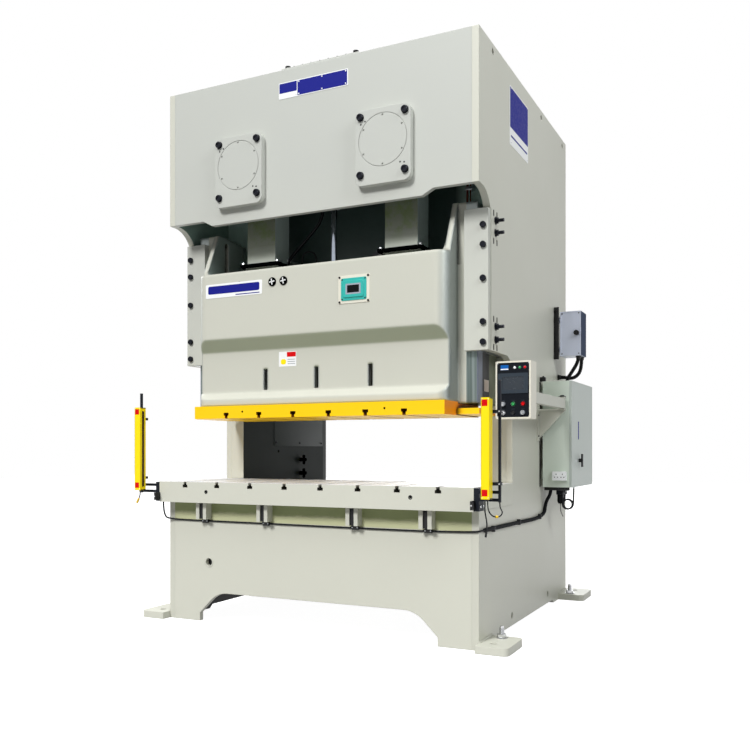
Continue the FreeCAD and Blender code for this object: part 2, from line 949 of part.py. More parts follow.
def build_guides():
    seat = back(S.gib_seat_y)
    gibs = []
    rails = []
    for side in SIDES.values():
        x = (S.gib_inner, S.gib_outer) if side > 0 else (-S.gib_outer, -S.gib_inner)
        holes = [(side * S.gib_bolt_x, height, S.bolt_shank_radius + S.bolt_clearance)
                 for height in GIB_BOLT_HEIGHTS]
        gibs.append(plate("XZ", rectangle(x, (S.throat_top, S.gib_top)),
                          seat - S.gib_thickness, seat, holes))
        face = S.wing_outer + S.guide_clearance
        rear = back(S.throat_depth)
        ledge = back(S.wing_rear_y) + S.guide_clearance
        rail = [
            (INNER_HALF, seat),
            (INNER_HALF, rear),
            (S.gib_inner, rear),
            (S.gib_inner, ledge),
            (face, ledge),
            (face, seat),
        ]
        if side < 0:
            rail = mirrored_x(rail)
        rails.append(plate("XY", rail, S.throat_top, S.gib_top))
        for height in GIB_BOLT_HEIGHTS:
            shank = rod("y", side * S.gib_bolt_x, height,
                        seat - S.gib_thickness - BITE, seat, S.bolt_shank_radius)
            head = hexagon("y", side * S.gib_bolt_x, height,
                           seat - S.gib_thickness - S.bolt_head,
                           seat - S.gib_thickness, S.bolt_radius)
            FASTENERS.append(fuse([shank, head]))
        for height in ADJUSTER_HEIGHTS:
            start = INNER_HALF if side > 0 else -S.half_width - S.adjuster_length
            end = S.half_width + S.adjuster_length if side > 0 else -INNER_HALF
            nut = (S.half_width, S.half_width + S.lock_nut)
            if side < 0:
                nut = (-S.half_width - S.lock_nut, -S.half_width)
            screw = rod("x", back(S.adjuster_y), height, start, end, S.adjuster_radius)
            lock = hexagon("x", back(S.adjuster_y), height, nut[0], nut[1], S.lock_nut)
            FASTENERS.append(fuse([screw, lock]))
    subpart("gib_plates", group(gibs))
    subpart("guide_rails", group(rails))


# ---------------------------------------------------------------- crown covers

CAP_SCREWS = 6


def build_crank_covers():
    covers = []
    front = -REAR
    for side in SIDES.values():
        middle = side * S.crank_x
        half = S.cover_width / 2
        low = S.cover_centre - S.cover_height / 2
        high = S.cover_centre + S.cover_height / 2
        corner = S.cover_corner
        outline = [(middle - half, low, corner), (middle + half, low, corner),
                   (middle + half, high, corner), (middle - half, high, corner)]
        places = [(middle + dx * S.cover_bolt_dx, S.cover_bolt_centre + dz * S.cover_bolt_dz)
                  for dx in (-1, 1) for dz in (-1, 1)]
        holes = [(u, v, S.bolt_shank_radius + S.bolt_clearance) for u, v in places]
        lid = plate("XZ", outline, front - S.cover_thickness, front, holes)
        face = front - S.cover_thickness
        outer = rod("y", middle, S.crank_height, face - BITE,
                    face + S.cap_groove_depth, S.cap_radius)
        inner = rod("y", middle, S.crank_height, face - 2 * BITE,
                    face + S.cap_groove_depth + BITE,
                    S.cap_radius - S.cap_groove_width)
        screws = []
        for step in range(CAP_SCREWS):
            angle = 2 * math.pi * (step + 0.5) / CAP_SCREWS
            screws.append(rod(
                "y", middle + S.cap_screw_circle * math.cos(angle),
                S.crank_height + S.cap_screw_circle * math.sin(angle),
                face - BITE, face + S.cap_screw_depth, S.cap_screw_radius))
        covers.append(cut(lid, [cut(outer, [inner])] + screws))
        for u, v in places:
            shank = rod("y", u, v, face - BITE, front, S.bolt_shank_radius)
            head = hexagon("y", u, v, face - S.bolt_head, face, S.bolt_radius)
            FASTENERS.append(fuse([shank, head]))
    subpart("crank_covers", group(covers))
    subpart("frame_bolts", group(FASTENERS))

    left = S.hatch_centre_x - S.hatch_half_width
    right = S.hatch_centre_x + S.hatch_half_width
    lid = box((left, right), (back(S.hatch_front_y), back(S.hatch_rear_y)),
              (S.press_height, S.press_height + S.hatch_thickness))
    lid_top = S.press_height + S.hatch_thickness
    inset = S.hatch_knob_inset
    knobs = [rod("z", x, back(y), lid_top, lid_top + S.hatch_knob_height,
                 S.hatch_knob_radius)
             for x in (left + inset, right - inset)
             for y in (S.hatch_front_y + inset, S.hatch_rear_y - inset)]
    subpart("top_hatch", fuse([lid] + knobs))


# ---------------------------------------------------------------- cranks

def gear_outline(teeth, module, turn):
    """Corner points of a spur gear's teeth, with three points on each flank."""
    pitch_radius = module * teeth / 2
    base_radius = pitch_radius * math.cos(math.radians(20))
    backlash = float(S.tooth_backlash)
    tip = pitch_radius + module * float(S.tooth_addendum_share)
    root = pitch_radius - module * float(S.tooth_dedendum_share)
    half_pitch = (math.pi * module / 2 - backlash) / (2 * pitch_radius)

    def involute(radius):
        pressure = math.acos(min(1.0, base_radius / radius))
        return math.tan(pressure) - pressure

    def half_width(radius):
        return half_pitch + involute(pitch_radius) - involute(max(radius, base_radius))

    points = []
    for tooth in range(teeth):
        centre = turn + 2 * math.pi * tooth / teeth
        for radius, sign in ((root, -1), (pitch_radius, -1), (tip, -1),
                             (tip, 1), (pitch_radius, 1), (root, 1)):
            angle = centre + sign * half_width(radius)
            points.append((radius * math.cos(angle), radius * math.sin(angle)))
    return points


def toothed_disc(teeth, module, turn, x, z, low, high):
    """A gear blank with its teeth, as one solid along Y."""
    ring = [Vector(float(x) + u, float(low), float(z) + v)
            for u, v in gear_outline(teeth, module, turn)]
    face = Part.Face(Part.makePolygon(ring + ring[:1]))
    gear = document.addObject("Part::Feature", "Toothed")
    gear.Shape = face.extrude(Vector(0, float(high) - float(low), 0))
    return gear


BEARINGS = []
GEAR_HOLES = 6
WEB_PLATES_REACH = S.crank_web_front_y + S.crank_web
ROD_Y = WEB_PLATES_REACH + S.rod_side_gap
PIN_REAR_Y = WEB_PLATES_REACH + S.rod_depth + 2 * S.rod_side_gap
JOURNAL_REAR_Y = S.gear_y + S.gear_face + S.journal_end


def crankshaft(side):
    x = side * S.crank_x
    axis = S.crank_height
    return fuse([
        rod("y", x, axis, back(2), back(S.crank_web_front_y), S.journal_radius),
        rod("y", x, axis, back(S.crank_web_front_y), back(WEB_PLATES_REACH),
            S.crank_web_radius),
        rod("y", x, axis + S.crank_throw, back(WEB_PLATES_REACH), back(PIN_REAR_Y),
            S.pin_radius),
        rod("y", x, axis, back(PIN_REAR_Y), back(PIN_REAR_Y + S.crank_web),
            S.crank_web_radius),
        rod("y", x, axis, back(PIN_REAR_Y + S.crank_web), back(JOURNAL_REAR_Y),
            S.journal_radius)])


def main_gear(side):
    x = side * S.crank_x
    low = back(S.gear_y)
    high = low + S.gear_face
    blank = toothed_disc(int(float(S.gear_teeth)), float(gear_module), 0, x,
                         S.crank_height, low, high)
    recess = (S.gear_face - S.gear_web) / 2
    root = S.crank_x - gear_module * S.tooth_dedendum_share - S.gear_rim
    tools = [rod("y", x, S.crank_height, low - BITE, high + BITE, S.journal_radius)]
    for start, end in ((low - BITE, low + recess), (high - recess, high + BITE)):
        tools.append(cut(rod("y", x, S.crank_height, start, end, root),
                         [rod("y", x, S.crank_height, start - BITE, end + BITE,
                              S.gear_hub_radius)]))
    for step in range(GEAR_HOLES):
        angle = 2 * math.pi * step / GEAR_HOLES
        tools.append(rod("y", x + S.gear_hole_circle * math.cos(angle),
                         S.crank_height + S.gear_hole_circle * math.sin(angle),
                         low, high, S.gear_hole_radius))
    return cut(blank, tools)


def connecting_rod(side):
    x = side * S.crank_x
    low = back(ROD_Y)
    high = low + S.rod_depth
    middle = low + S.rod_depth / 2
    pin_height = S.crank_height + S.crank_throw
    half = S.rod_width / 2
    flange = S.rod_flange_width / 2
    flange_low = S.rod_block_bottom - S.rod_flange
    body = fuse([
        rod("y", x, pin_height, low, high, S.rod_eye_radius),
        box((x - half, x + half), (low, high), (S.rod_block_bottom, pin_height)),
        box((x - flange, x + flange), (low, high), (flange_low, S.rod_block_bottom)),
        rod("z", x, middle, S.rod_ball_height, flange_low, S.rod_screw_radius),
        ball(x, middle, S.rod_ball_height, S.rod_ball_radius)])
    eye = rod("y", x, pin_height, low - BITE, high + BITE,
              S.pin_radius + S.journal_clearance)
    return cut(body, [eye])


def build_cranks():
    for name, side in SIDES.items():
        x = side * S.crank_x
        subpart(f"crankshaft_{name}", crankshaft(side))
        subpart(f"main_gear_{name}", main_gear(side))
        subpart(f"connecting_rod_{name}", connecting_rod(side))
        for low, high in ((-REAR, S.bush_depth - REAR), (WEB_FRONT, WEB_REAR)):
            BEARINGS.append(cut(
                rod("y", x, S.crank_height, low, high, BUSH_RADIUS),
                [rod("y", x, S.crank_height, low - BITE, high + BITE,
                     S.journal_radius + S.journal_clearance)]))


# ---------------------------------------------------------------- drive

FLYWHEEL_FRONT = REAR + S.flywheel_gap
FLYWHEEL_REAR = FLYWHEEL_FRONT + S.flywheel_width
BELT_FRONT = FLYWHEEL_FRONT + (S.flywheel_width - S.belt_width) / 2
MOTOR_FINS = 12


def build_drive():
    low = back(S.gear_y)
    phase = pinion_turn + math.pi + (
        pinion_turn * float(S.gear_teeth) + math.pi) / float(S.pinion_teeth)
    pinion = toothed_disc(int(float(S.pinion_teeth)), float(gear_module), phase,
                          SHAFT_X, SHAFT_HEIGHT, low, low + S.gear_face)
    shaft = rod("y", SHAFT_X, SHAFT_HEIGHT, WEB_FRONT - S.shaft_nose,
                FLYWHEEL_REAR + S.shaft_tail, S.shaft_radius)
    subpart("drive_shaft", fuse([pinion, shaft]))

    for start, end in ((WEB_FRONT, WEB_REAR), (REAR_PLATE_FRONT, REAR)):
        BEARINGS.append(cut(
            fuse([rod("y", SHAFT_X, SHAFT_HEIGHT, start, end, BEARING_RADIUS),
                  rod("y", SHAFT_X, SHAFT_HEIGHT, end, end + S.bearing_flange / 2,
                      BEARING_RADIUS + S.bearing_flange)]),
            [rod("y", SHAFT_X, SHAFT_HEIGHT, start - BITE, end + S.bearing_flange,
                 S.shaft_radius + S.journal_clearance)]))
    subpart("shaft_bearings", group(BEARINGS))

    recess = (S.flywheel_width - S.flywheel_web) / 2
    rim = S.flywheel_radius - S.flywheel_rim
    tools = [rod("y", SHAFT_X, SHAFT_HEIGHT, FLYWHEEL_FRONT - BITE, FLYWHEEL_REAR + BITE,
                 S.shaft_radius + S.journal_clearance)]
    for start, end in ((FLYWHEEL_FRONT - BITE, FLYWHEEL_FRONT + recess),
                       (FLYWHEEL_REAR - recess, FLYWHEEL_REAR + BITE)):
        tools.append(cut(rod("y", SHAFT_X, SHAFT_HEIGHT, start, end, rim),
                         [rod("y", SHAFT_X, SHAFT_HEIGHT, start - BITE, end + BITE,
                              S.flywheel_hub_radius)]))
    wheel = rod("y", SHAFT_X, SHAFT_HEIGHT, FLYWHEEL_FRONT, FLYWHEEL_REAR,
                S.flywheel_radius)
    subpart("flywheel", cut(wheel, tools))
    subpart("drive_belts", belt_loop())


def build_motor():
    x = -S.motor_x
    axis = S.motor_height
    front = REAR_PLATE_FRONT - S.motor_gap
    rear = front - S.motor_length
    pulley = rod("y", x, axis, FLYWHEEL_FRONT, FLYWHEEL_REAR, S.motor_pulley_radius)
    stub = rod("y", x, axis, front - S.motor_shaft_depth, FLYWHEEL_REAR,
               S.motor_shaft_radius)
    subpart("motor_pulley", fuse([pulley, stub]))

    pieces = [rod("y", x, axis, rear, front, S.motor_radius)]
    for step in range(MOTOR_FINS):
        angle = 2 * math.pi * (step + 0.5) / MOTOR_FINS
        reach = S.motor_radius - S.motor_fin_radius / 3
        pieces.append(rod("y", x + reach * math.cos(angle), axis + reach * math.sin(angle),
                          rear + S.motor_fin_end, front - S.motor_fin_end,
                          S.motor_fin_radius))
    seat_top = axis - S.motor_radius + S.motor_seat_sink
    seat_bottom = seat_top - S.motor_seat_thickness
    crown = axis + S.motor_radius
    pieces.append(box((x - S.motor_seat_half, x + S.motor_seat_half),
                      (rear + S.motor_seat_end, front - S.motor_seat_end),
                      (seat_bottom, seat_top)))
    pieces.append(box((x - S.terminal_half, x + S.terminal_half),
                      (front - S.terminal_front, front - S.terminal_rear),
                      (crown - S.motor_seat_sink, crown + S.terminal_height)))
    hollow = rod("y", x, axis, front - S.motor_shaft_depth - BITE, front + BITE,
                 S.motor_shaft_radius + S.journal_clearance)
    subpart("drive_motor", cut(fuse(pieces), [hollow]))

    shelf_bottom = seat_bottom - S.shelf_thickness
    shelf = [box((x - S.shelf_half, x + S.shelf_half), (rear, REAR_PLATE_FRONT),
                 (shelf_bottom, seat_bottom))]
    for side in SIDES.values():
        middle = x + side * S.gusset_x
        shelf.append(plate(
            "YZ",
            [(rear + S.motor_fin_end, shelf_bottom),
             (REAR_PLATE_FRONT, shelf_bottom - S.gusset_drop),
             (REAR_PLATE_FRONT, shelf_bottom)],
            middle - S.gusset_half, middle + S.gusset_half))
    subpart("motor_shelf", fuse(shelf))


def belt_loop():
    """A flat loop round the flywheel and the motor pulley, open between them."""
    first = Vector(float(SHAFT_X), 0, float(SHAFT_HEIGHT))
    second = Vector(-float(S.motor_x), 0, float(S.motor_height))
    clearance = float(S.belt_clearance)

    def hull(extra):
        big = float(S.flywheel_radius) + extra
        small = float(S.motor_pulley_radius) + extra
        line = second - first
        span = line.Length
        heading = math.atan2(line.z, line.x)
        lean = math.acos((big - small) / span)

        def on(centre, radius, angle):
            return centre + Vector(radius * math.cos(angle), 0, radius * math.sin(angle))

        top_big = on(first, big, heading + lean)
        low_big = on(first, big, heading - lean)
        top_small = on(second, small, heading + lean)
        low_small = on(second, small, heading - lean)
        edges = [
            Part.LineSegment(top_big, top_small).toShape(),
            Part.Arc(top_small, on(second, small, heading), low_small).toShape(),
            Part.LineSegment(low_small, low_big).toShape(),
            Part.Arc(low_big, on(first, big, heading + math.pi), top_big).toShape()]
        return Part.Face(Part.Wire(edges))

    ring = hull(clearance + float(S.belt_thickness)).cut(hull(clearance))
    loop = document.addObject("Part::Feature", "Belt")
    loop.Shape = ring.extrude(Vector(0, float(S.belt_width), 0))
    loop.Placement = FreeCAD.Placement(Vector(0, float(BELT_FRONT), 0), FreeCAD.Rotation())
    return loop


# ---------------------------------------------------------------- counterbalance

def build_balance():
    y = back(S.balance_y)
    top = S.press_height - S.balance_drop
    tube = rod("z", 0, y, S.balance_bottom, top, S.balance_tube_radius)
    half = S.balance_flange_half
    flanges = [box((-half, half), (S.front_thickness - REAR, y),
                   (low, low + S.balance_flange))
               for low in (S.balance_bottom + S.balance_flange_low,
                           top - S.balance_flange_high)]
    collar_bottom = S.balance_bottom - S.balance_collar
    collar = rod("z", 0, y, collar_bottom, S.balance_bottom, S.balance_rod_radius * 2)
    bore = rod("z", 0, y, S.balance_bottom + S.balance_cap,
               top - S.balance_cap, S.balance_bore_radius)
    gland = rod("z", 0, y, collar_bottom - BITE,
                S.balance_bottom + S.balance_cap + BITE,
                S.balance_rod_radius + S.journal_clearance)
    subpart("balance_cylinder", cut(fuse([tube, collar] + flanges), [bore, gland]))
    piston_top = top - S.balance_piston_drop
    stem = rod("z", 0, y, S.balance_lug_top, piston_top, S.balance_rod_radius)
    piston = rod("z", 0, y, piston_top - S.balance_piston, piston_top,
                 S.balance_bore_radius - S.guide_clearance)
    subpart("balance_rod", fuse([stem, piston]))


# ---------------------------------------------------------------- slide

def slide_shell():
    """Front profile drawn from the side, padded across and hollowed."""
    half = S.slide_half_width
    bottom = S.slide_bottom + S.face_thickness
    profile = [
        (back(S.slide_front_y), bottom),
        (back(S.slide_front_y), S.flange_top),
        (back(S.slide_lower_y), S.strip_top),
        (back(S.slide_lower_y), S.step_bottom),
        (back(S.slide_front_y), S.step_top),
        (back(S.slide_front_y), S.panel_top),
        (back(S.slide_rear_y), S.panel_top),
        (back(S.slide_rear_y), bottom),
    ]
    block = plate("YZ", profile, -half, half)
    corner = S.slide_corner
    plan = plate("XY", [
        (-half, back(S.slide_front_y), corner), (half, back(S.slide_front_y), corner),
        (half, back(S.slide_rear_y)), (-half, back(S.slide_rear_y))],
        bottom, S.panel_top)
    outside = common(block, plan)
    inner = half - S.slide_wall
    lower_well = box((-inner, inner),
                     (back(S.slide_lower_y + S.slide_wall),
                      back(S.slide_rear_y - S.slide_wall)),
                     (S.slide_floor, S.panel_top + BITE))
    upper_well = box((-inner + S.slide_corner / 2, inner - S.slide_corner / 2),
                     (back(S.slide_front_y + S.slide_wall), back(S.ear_rear_y)),
                     (S.step_top + S.slide_wall, S.panel_top + BITE))
    return cut(outside, [lower_well, upper_well])


def knockout_slots():
    """Three slots through the slide for its knock-out bars."""
    half = S.knockout_width / 2
    return [box((x - half, x + half), (back(0), back(S.wing_rear_y)),
                (S.knockout_bottom, S.knockout_top))
            for x in (-S.knockout_x, as_size(0), S.knockout_x)]


def slide_ear(side):
    """The end wall that rises above the panel, with a rounded slot."""
    half = S.slide_half_width
    x = (half - S.slide_wall, half) if side > 0 else (-half, S.slide_wall - half)
    outline = [
        (back(S.slide_front_y + S.slide_corner), S.panel_top - S.ear_fillet),
        (back(S.ear_rear_y), S.panel_top - S.ear_fillet),
        (back(S.ear_rear_y), S.ear_top - 20, 60),
        (back(S.ear_front_y), S.ear_top, 20),
        (back(S.ear_foot_y), S.panel_top + 26, 90),
        (back(S.slide_front_y + S.slide_corner), S.panel_top + 4),
    ]
    half_slot = S.ear_slot_width / 2
    slot = [
        (back(S.ear_slot_y) - half_slot, S.panel_top - 10),
        (back(S.ear_slot_y) + half_slot, S.panel_top - 10),
        (back(S.ear_slot_y) + half_slot, S.ear_slot_top, half_slot * 0.98),
        (back(S.ear_slot_y) - half_slot, S.ear_slot_top, half_slot * 0.98),
    ]
    return plate("YZ", outline, x[0], x[1], windows=[slot])


def ear_corner(side):
    """The concave curve from the panel's top edge up to an ear."""
    inner = S.slide_half_width - S.slide_wall
    middle = side * (inner - S.ear_fillet)
    x = (middle, inner + BITE) if side > 0 else (-inner - BITE, middle)
    front = back(S.slide_front_y + S.slide_corner)
    y = (front, front + S.ear_fillet_depth)
    high = S.panel_top + S.ear_fillet
    hollow = rod("y", middle, high, y[0] - BITE, y[1] + BITE, S.ear_fillet)
    return cut(box(x, y, (S.panel_top - BITE, high)), [hollow])


def slide_wing(side):
    """The machined guide bar at one end of the slide."""
    inner = S.slide_half_width
    outer = S.wing_outer
    x = (inner, outer) if side > 0 else (-outer, -inner)
    return box(x, (back(S.gib_seat_y) + S.guide_clearance, back(S.wing_rear_y)),
               (S.wing_bottom, S.ear_top - 8))


def build_slide():
    ribs = []
    for side in SIDES.values():
        middle = side * S.slide_rib_x
        ribs.append(box((middle - S.slide_rib_half, middle + S.slide_rib_half),
                        (back(S.slide_lower_y + S.slide_wall - BITE),
                         back(S.slide_rear_y - S.slide_wall + BITE)),
                        (S.slide_floor - BITE, S.balance_lug_top)))
        seat = side * S.crank_x
        ribs.append(box((seat - S.well_half, seat + S.well_half),
                        (back(ROD_Y - S.well_margin),
                         back(ROD_Y + S.rod_depth + S.well_margin)),
                        (S.slide_floor - BITE, S.well_floor)))
    lug = box((-S.balance_lug_half, S.balance_lug_half),
              (back(S.balance_y) - S.balance_lug_half, back(S.balance_y) + S.balance_lug_half),
              (S.slide_floor - BITE, S.balance_lug_top))
    ends = [slide_ear(side) for side in SIDES.values()]
    ends += [ear_corner(side) for side in SIDES.values()]
    ends += [slide_wing(side) for side in SIDES.values()]
    whole = fuse([slide_shell(), lug] + ribs + ends)
    subpart("slide_body", cut(whole, knockout_slots()))

    half = S.slide_half_width
    top = S.slide_bottom + S.face_thickness
    dowels = [(side * S.face_dowel_x, S.face_dowel_height) for side in SIDES.values()]
    face = slotted_plate((-half, half), (back(0), back(S.wing_rear_y)),
                         (S.slide_bottom, top), S.slot_count_slide, False, dowels)
    bars = []
    for side in SIDES.values():
        x = (half - BITE, S.bar_outer) if side > 0 else (-S.bar_outer, BITE - half)
        bars.append(box(x, (back(S.bar_front_y), back(S.wing_rear_y)),
                        (S.bar_bottom, S.bar_bottom + S.bar_thickness)))
    subpart("slide_face_plate", fuse([face] + bars))

    front = back(S.slide_front_y)
    backing = box((S.counter_x - S.counter_plate_width / 2,
                   S.counter_x + S.counter_plate_width / 2),
                  (front - S.counter_plate, front),
                  (S.counter_height - S.counter_plate_height / 2,
                   S.counter_height + S.counter_plate_height / 2))
    housing = box((S.counter_x - S.counter_width / 2, S.counter_x + S.counter_width / 2),
                  (front - S.counter_depth, front - S.counter_plate),
                  (S.counter_height - S.counter_body_height / 2,
                   S.counter_height + S.counter_body_height / 2))
    subpart("counter_unit", fuse([backing, housing]))


# ---------------------------------------------------------------- cabinet

HINGE_INSET = 150
HINGE_LEAF = 10
PANEL_MARGIN = 60
PANEL_THICKNESS = 4
DEVICE_HALF_HEIGHT = 60
DEVICE_ROWS = (
    # height, depth, count
    (1180, 60, 5),
    (1420, 90, 4),
    (1660, 70, 6),
)


def cabinet_hinges(shell_face, door_face, rear):
    """Pins with brackets for the shell, knuckles for the door, and their bores."""
    x = (shell_face + door_face) / 2
    y = rear + S.hinge_radius + S.pivot_gap * 2
    pins, knuckles, bores = [], [], []
    for z in (S.cabinet_bottom + HINGE_INSET, S.cabinet_top - HINGE_INSET):
        half = S.hinge_length / 2
        pins.append(rod("z", x, y, z - half, z + half, S.hinge_pin_radius))
        for low, high in ((z - half, z - half + HINGE_LEAF),
                          (z + half - HINGE_LEAF, z + half)):
            pins.append(rod("z", x, y, low, high, S.hinge_radius))
            pins.append(box((shell_face - HINGE_LEAF, shell_face), (rear - BITE, y),
                            (low, high)))
        knuckle = (z - half + HINGE_LEAF + S.pivot_gap, z + half - HINGE_LEAF - S.pivot_gap)
        knuckles.append(rod("z", x, y, knuckle[0], knuckle[1], S.hinge_radius))
        knuckles.append(box((door_face, door_face + HINGE_LEAF), (rear - BITE, y), knuckle))
        bores.append(rod("z", x, y, knuckle[0] - BITE, knuckle[1] + BITE,
                         S.hinge_pin_radius + S.pivot_clearance))
    return pins, knuckles, bores


def build_cabinet():
    inner = S.cabinet_inner
    outer = S.cabinet_outer
    front = back(S.cabinet_front_y)
    rear = back(S.cabinet_rear_y)
    wall = S.cabinet_wall
    shell = box((inner, outer), (front, rear), (S.cabinet_bottom, S.cabinet_top))
    hollow = box((inner + wall, outer - wall), (front + wall, rear - wall),
                 (S.cabinet_bottom + wall, S.cabinet_top - wall))
    lip = S.cabinet_lip
    mouth = box((outer - wall - BITE, outer + BITE), (front + lip, rear - lip),
                (S.cabinet_bottom + lip, S.cabinet_top - lip))
    tray_of_shell = cut(shell, [hollow, mouth])

    mounts = []
    for y in (front + S.mount_inset_y, rear - S.mount_inset_y):
        for z in (S.cabinet_bottom + S.mount_inset_z, S.cabinet_top - S.mount_inset_z):
            mounts.append(box((S.half_width, inner + BITE), (y - 30, y + 30),
                              (z - 45, z + 45)))

    face = inner + wall + PANEL_THICKNESS
    back_plate = box((inner + wall, face), (front + PANEL_MARGIN, rear - PANEL_MARGIN),
                     (S.cabinet_bottom + PANEL_MARGIN, S.cabinet_top - PANEL_MARGIN))
    devices = []
    span = rear - front - 4 * PANEL_MARGIN
    for height, depth, count in DEVICE_ROWS:
        for index in range(int(count)):
            start = front + 2 * PANEL_MARGIN + span * index / count
            devices.append(box(
                (face - BITE, face + depth), (start, start + span / count * 0.8),
                (height - DEVICE_HALF_HEIGHT, height + DEVICE_HALF_HEIGHT)))
    subpart("cabinet_panel", fuse([back_plate] + devices))

    gap = S.cabinet_door_gap
    door_low = outer + gap
    door_high = door_low + S.cabinet_door_depth
    door = box((door_low, door_high), (front, rear), (S.cabinet_bottom, S.cabinet_top))
    tray = box((door_low - BITE, door_high - wall), (front + wall, rear - wall),
               (S.cabinet_bottom + wall, S.cabinet_top - wall))
    spindle = rod("x", back(S.handle_y), S.handle_height, door_low - BITE,
                  door_high + BITE, S.handle_radius + S.pivot_clearance)
    pins, knuckles, bores = cabinet_hinges(outer, door_low, rear)
    subpart("cabinet_door", cut(fuse([cut(door, [tray, spindle])] + knuckles), bores))
    y = back(S.handle_y)
    grip_start = door_high + S.handle_standoff
    stem = rod("x", y, S.handle_height, door_low + wall, grip_start, S.handle_radius)
    grip = box((grip_start, grip_start + S.handle_grip),
               (y - S.handle_grip * 0.9, y + S.handle_grip * 0.9),
               (S.handle_height - S.handle_grip_half, S.handle_height + S.handle_grip_half))
    boss = rod("x", y, S.handle_height, door_high + S.bolt_clearance, grip_start,
               S.handle_radius * 2)
    subpart("cabinet_handle", fuse([stem, grip, boss]))

    outlet = box((S.outlet_inner, S.outlet_outer), (front - S.outlet_depth, front + BITE),
                 (S.outlet_bottom, S.outlet_top))
    subpart("cabinet_shell", fuse([tray_of_shell, outlet] + mounts + pins))


SWITCH_FOOT = 40
SWITCH_FOOT_INSET = 60


def build_switch_box():
    x = (S.switch_box_inner, S.switch_box_outer)
    y = (back(S.switch_box_front_y), back(S.switch_box_rear_y))
    z = (S.switch_box_bottom, S.switch_box_top)
    pieces = [box(x, y, z)]
    for height in (z[0] + SWITCH_FOOT_INSET, z[1] - SWITCH_FOOT_INSET):
        pieces.append(box(
            (S.half_width, x[0] + BITE), (y[0] + SWITCH_FOOT, y[1] - SWITCH_FOOT),
            (height - SWITCH_FOOT / 2, height + SWITCH_FOOT / 2)))

    def turned(start, end, radius):
        return rod("y", S.switch_knob_x, S.switch_knob_height, y[0] + start, y[0] + end,
                   radius)

    depth = S.switch_spindle_radius * 4
    bore = turned(-BITE, depth + BITE, S.switch_spindle_radius + S.pivot_clearance)
    subpart("switch_box", cut(fuse(pieces), [bore]))
    radius = S.switch_knob_radius
    pointer = box((S.switch_knob_x - 4, S.switch_knob_x + 4),
                  (y[0] - radius * 1.7, y[0] - radius),
                  (S.switch_knob_height - radius, S.switch_knob_height + radius))
    subpart("switch_knob", fuse([
        turned(-radius, depth, S.switch_spindle_radius),
        turned(-radius * 1.3, -S.bolt_clearance, radius), pointer]))


# ---------------------------------------------------------------- pendant

PENDANT_CONTROLS = (
    # name, share of the width, height, kind
    ("speed_knob", 0.22, 1652, "knob"),
    ("start_button", 0.50, 1652, "button"),
    ("stop_button", 0.78, 1652, "button"),
    ("key_switch", 0.22, 1592, "key"),
    ("inch_button", 0.50, 1592, "button"),
    ("mode_knob", 0.78, 1592, "knob"),
)
BUTTON_RADIUS = 11
BUTTON_PROUD = 4
BUTTON_STEM = 22
BUTTON_WELL = 30
BUTTON_FIT = 0.05
KNOB_RADIUS = 15


def pendant_control(x, z, kind, front):
    """One knob, button or key, with its stem in the panel's hole."""
    def turned(start, end, radius):
        return rod("y", x, z, front - start, front - end, radius)

    stem = turned(BUTTON_PROUD, -BUTTON_STEM, BUTTON_RADIUS)
    if kind == "button":
        return fuse([stem, turned(2 * BUTTON_PROUD, BUTTON_PROUD, BUTTON_RADIUS)])
    if kind == "key":
        return fuse([stem, box((x - 2, x + 2), (front - 34, front - BUTTON_PROUD),
                               (z - 9, z + 9))])
    return fuse([stem, turned(22, 1, KNOB_RADIUS),
                 box((x - 3, x + 3), (front - 26, front - 20), (z - 14, z + 14))])


ARM_X = S.pendant_outer - S.arm_inset


def build_pendant():
    front = back(S.pendant_front_y)
    rear = back(S.pendant_rear_y)
    case = box((S.pendant_inner, S.pendant_outer), (front, rear),
               (S.pendant_bottom, S.pendant_top))
    width = S.pendant_outer - S.pendant_inner
    holes = []
    for name, share, height, kind in PENDANT_CONTROLS:
        x = S.pendant_inner + width * share
        holes.append(rod("y", x, height, front - BITE, front + BUTTON_WELL,
                         BUTTON_RADIUS + BUTTON_FIT))
        subpart(name, pendant_control(x, height, kind, front))
    subpart("pendant_box", cut(case, holes))

    half = S.arm_width / 2
    x = (ARM_X - half, ARM_X + half)
    z = (S.arm_height - S.arm_depth / 2, S.arm_height + S.arm_depth / 2)
    tube = box(x, (rear, back(S.pivot_y)), z)
    hub = rod("z", ARM_X, back(S.pivot_y), z[0], z[1], half)
    pin_hole = rod("z", ARM_X, back(S.pivot_y), z[0] - BITE, z[1] + BITE,
                   S.pivot_radius + S.pivot_clearance)
    subpart("pendant_arm", cut(fuse([tube, hub]), [pin_hole]))

    # The pivot bracket reaches out from the frame's side to the arm's pin.
    gap = S.pivot_gap
    shelf = S.bracket_shelf
    plates = []
    for low, high in ((z[0] - gap - shelf, z[0] - gap), (z[1] + gap, z[1] + gap + shelf)):
        plates.append(box((S.half_width, ARM_X + half), (back(S.pivot_y) - half,
                                                           back(S.pivot_y) + half),
                          (low, high)))
    wall = box((S.half_width, S.half_width + S.bracket_wall),
               (back(S.pivot_y) - half, back(S.pivot_y) + half),
               (z[0] - S.bracket_drop, z[1] + gap + shelf))
    gusset = plate("XZ", [
        (S.half_width, z[0] - S.bracket_drop), (ARM_X + half, z[0] - gap - shelf),
        (S.half_width, z[0] - gap - shelf)],
        back(S.pivot_y) - S.bracket_gusset_half, back(S.pivot_y) + S.bracket_gusset_half)
    pin = rod("z", ARM_X, back(S.pivot_y), z[0] - gap - shelf, z[1] + gap + shelf,
              S.pivot_radius)
    subpart("pendant_bracket", fuse(plates + [wall, gusset, pin]))


# ---------------------------------------------------------------- light curtains

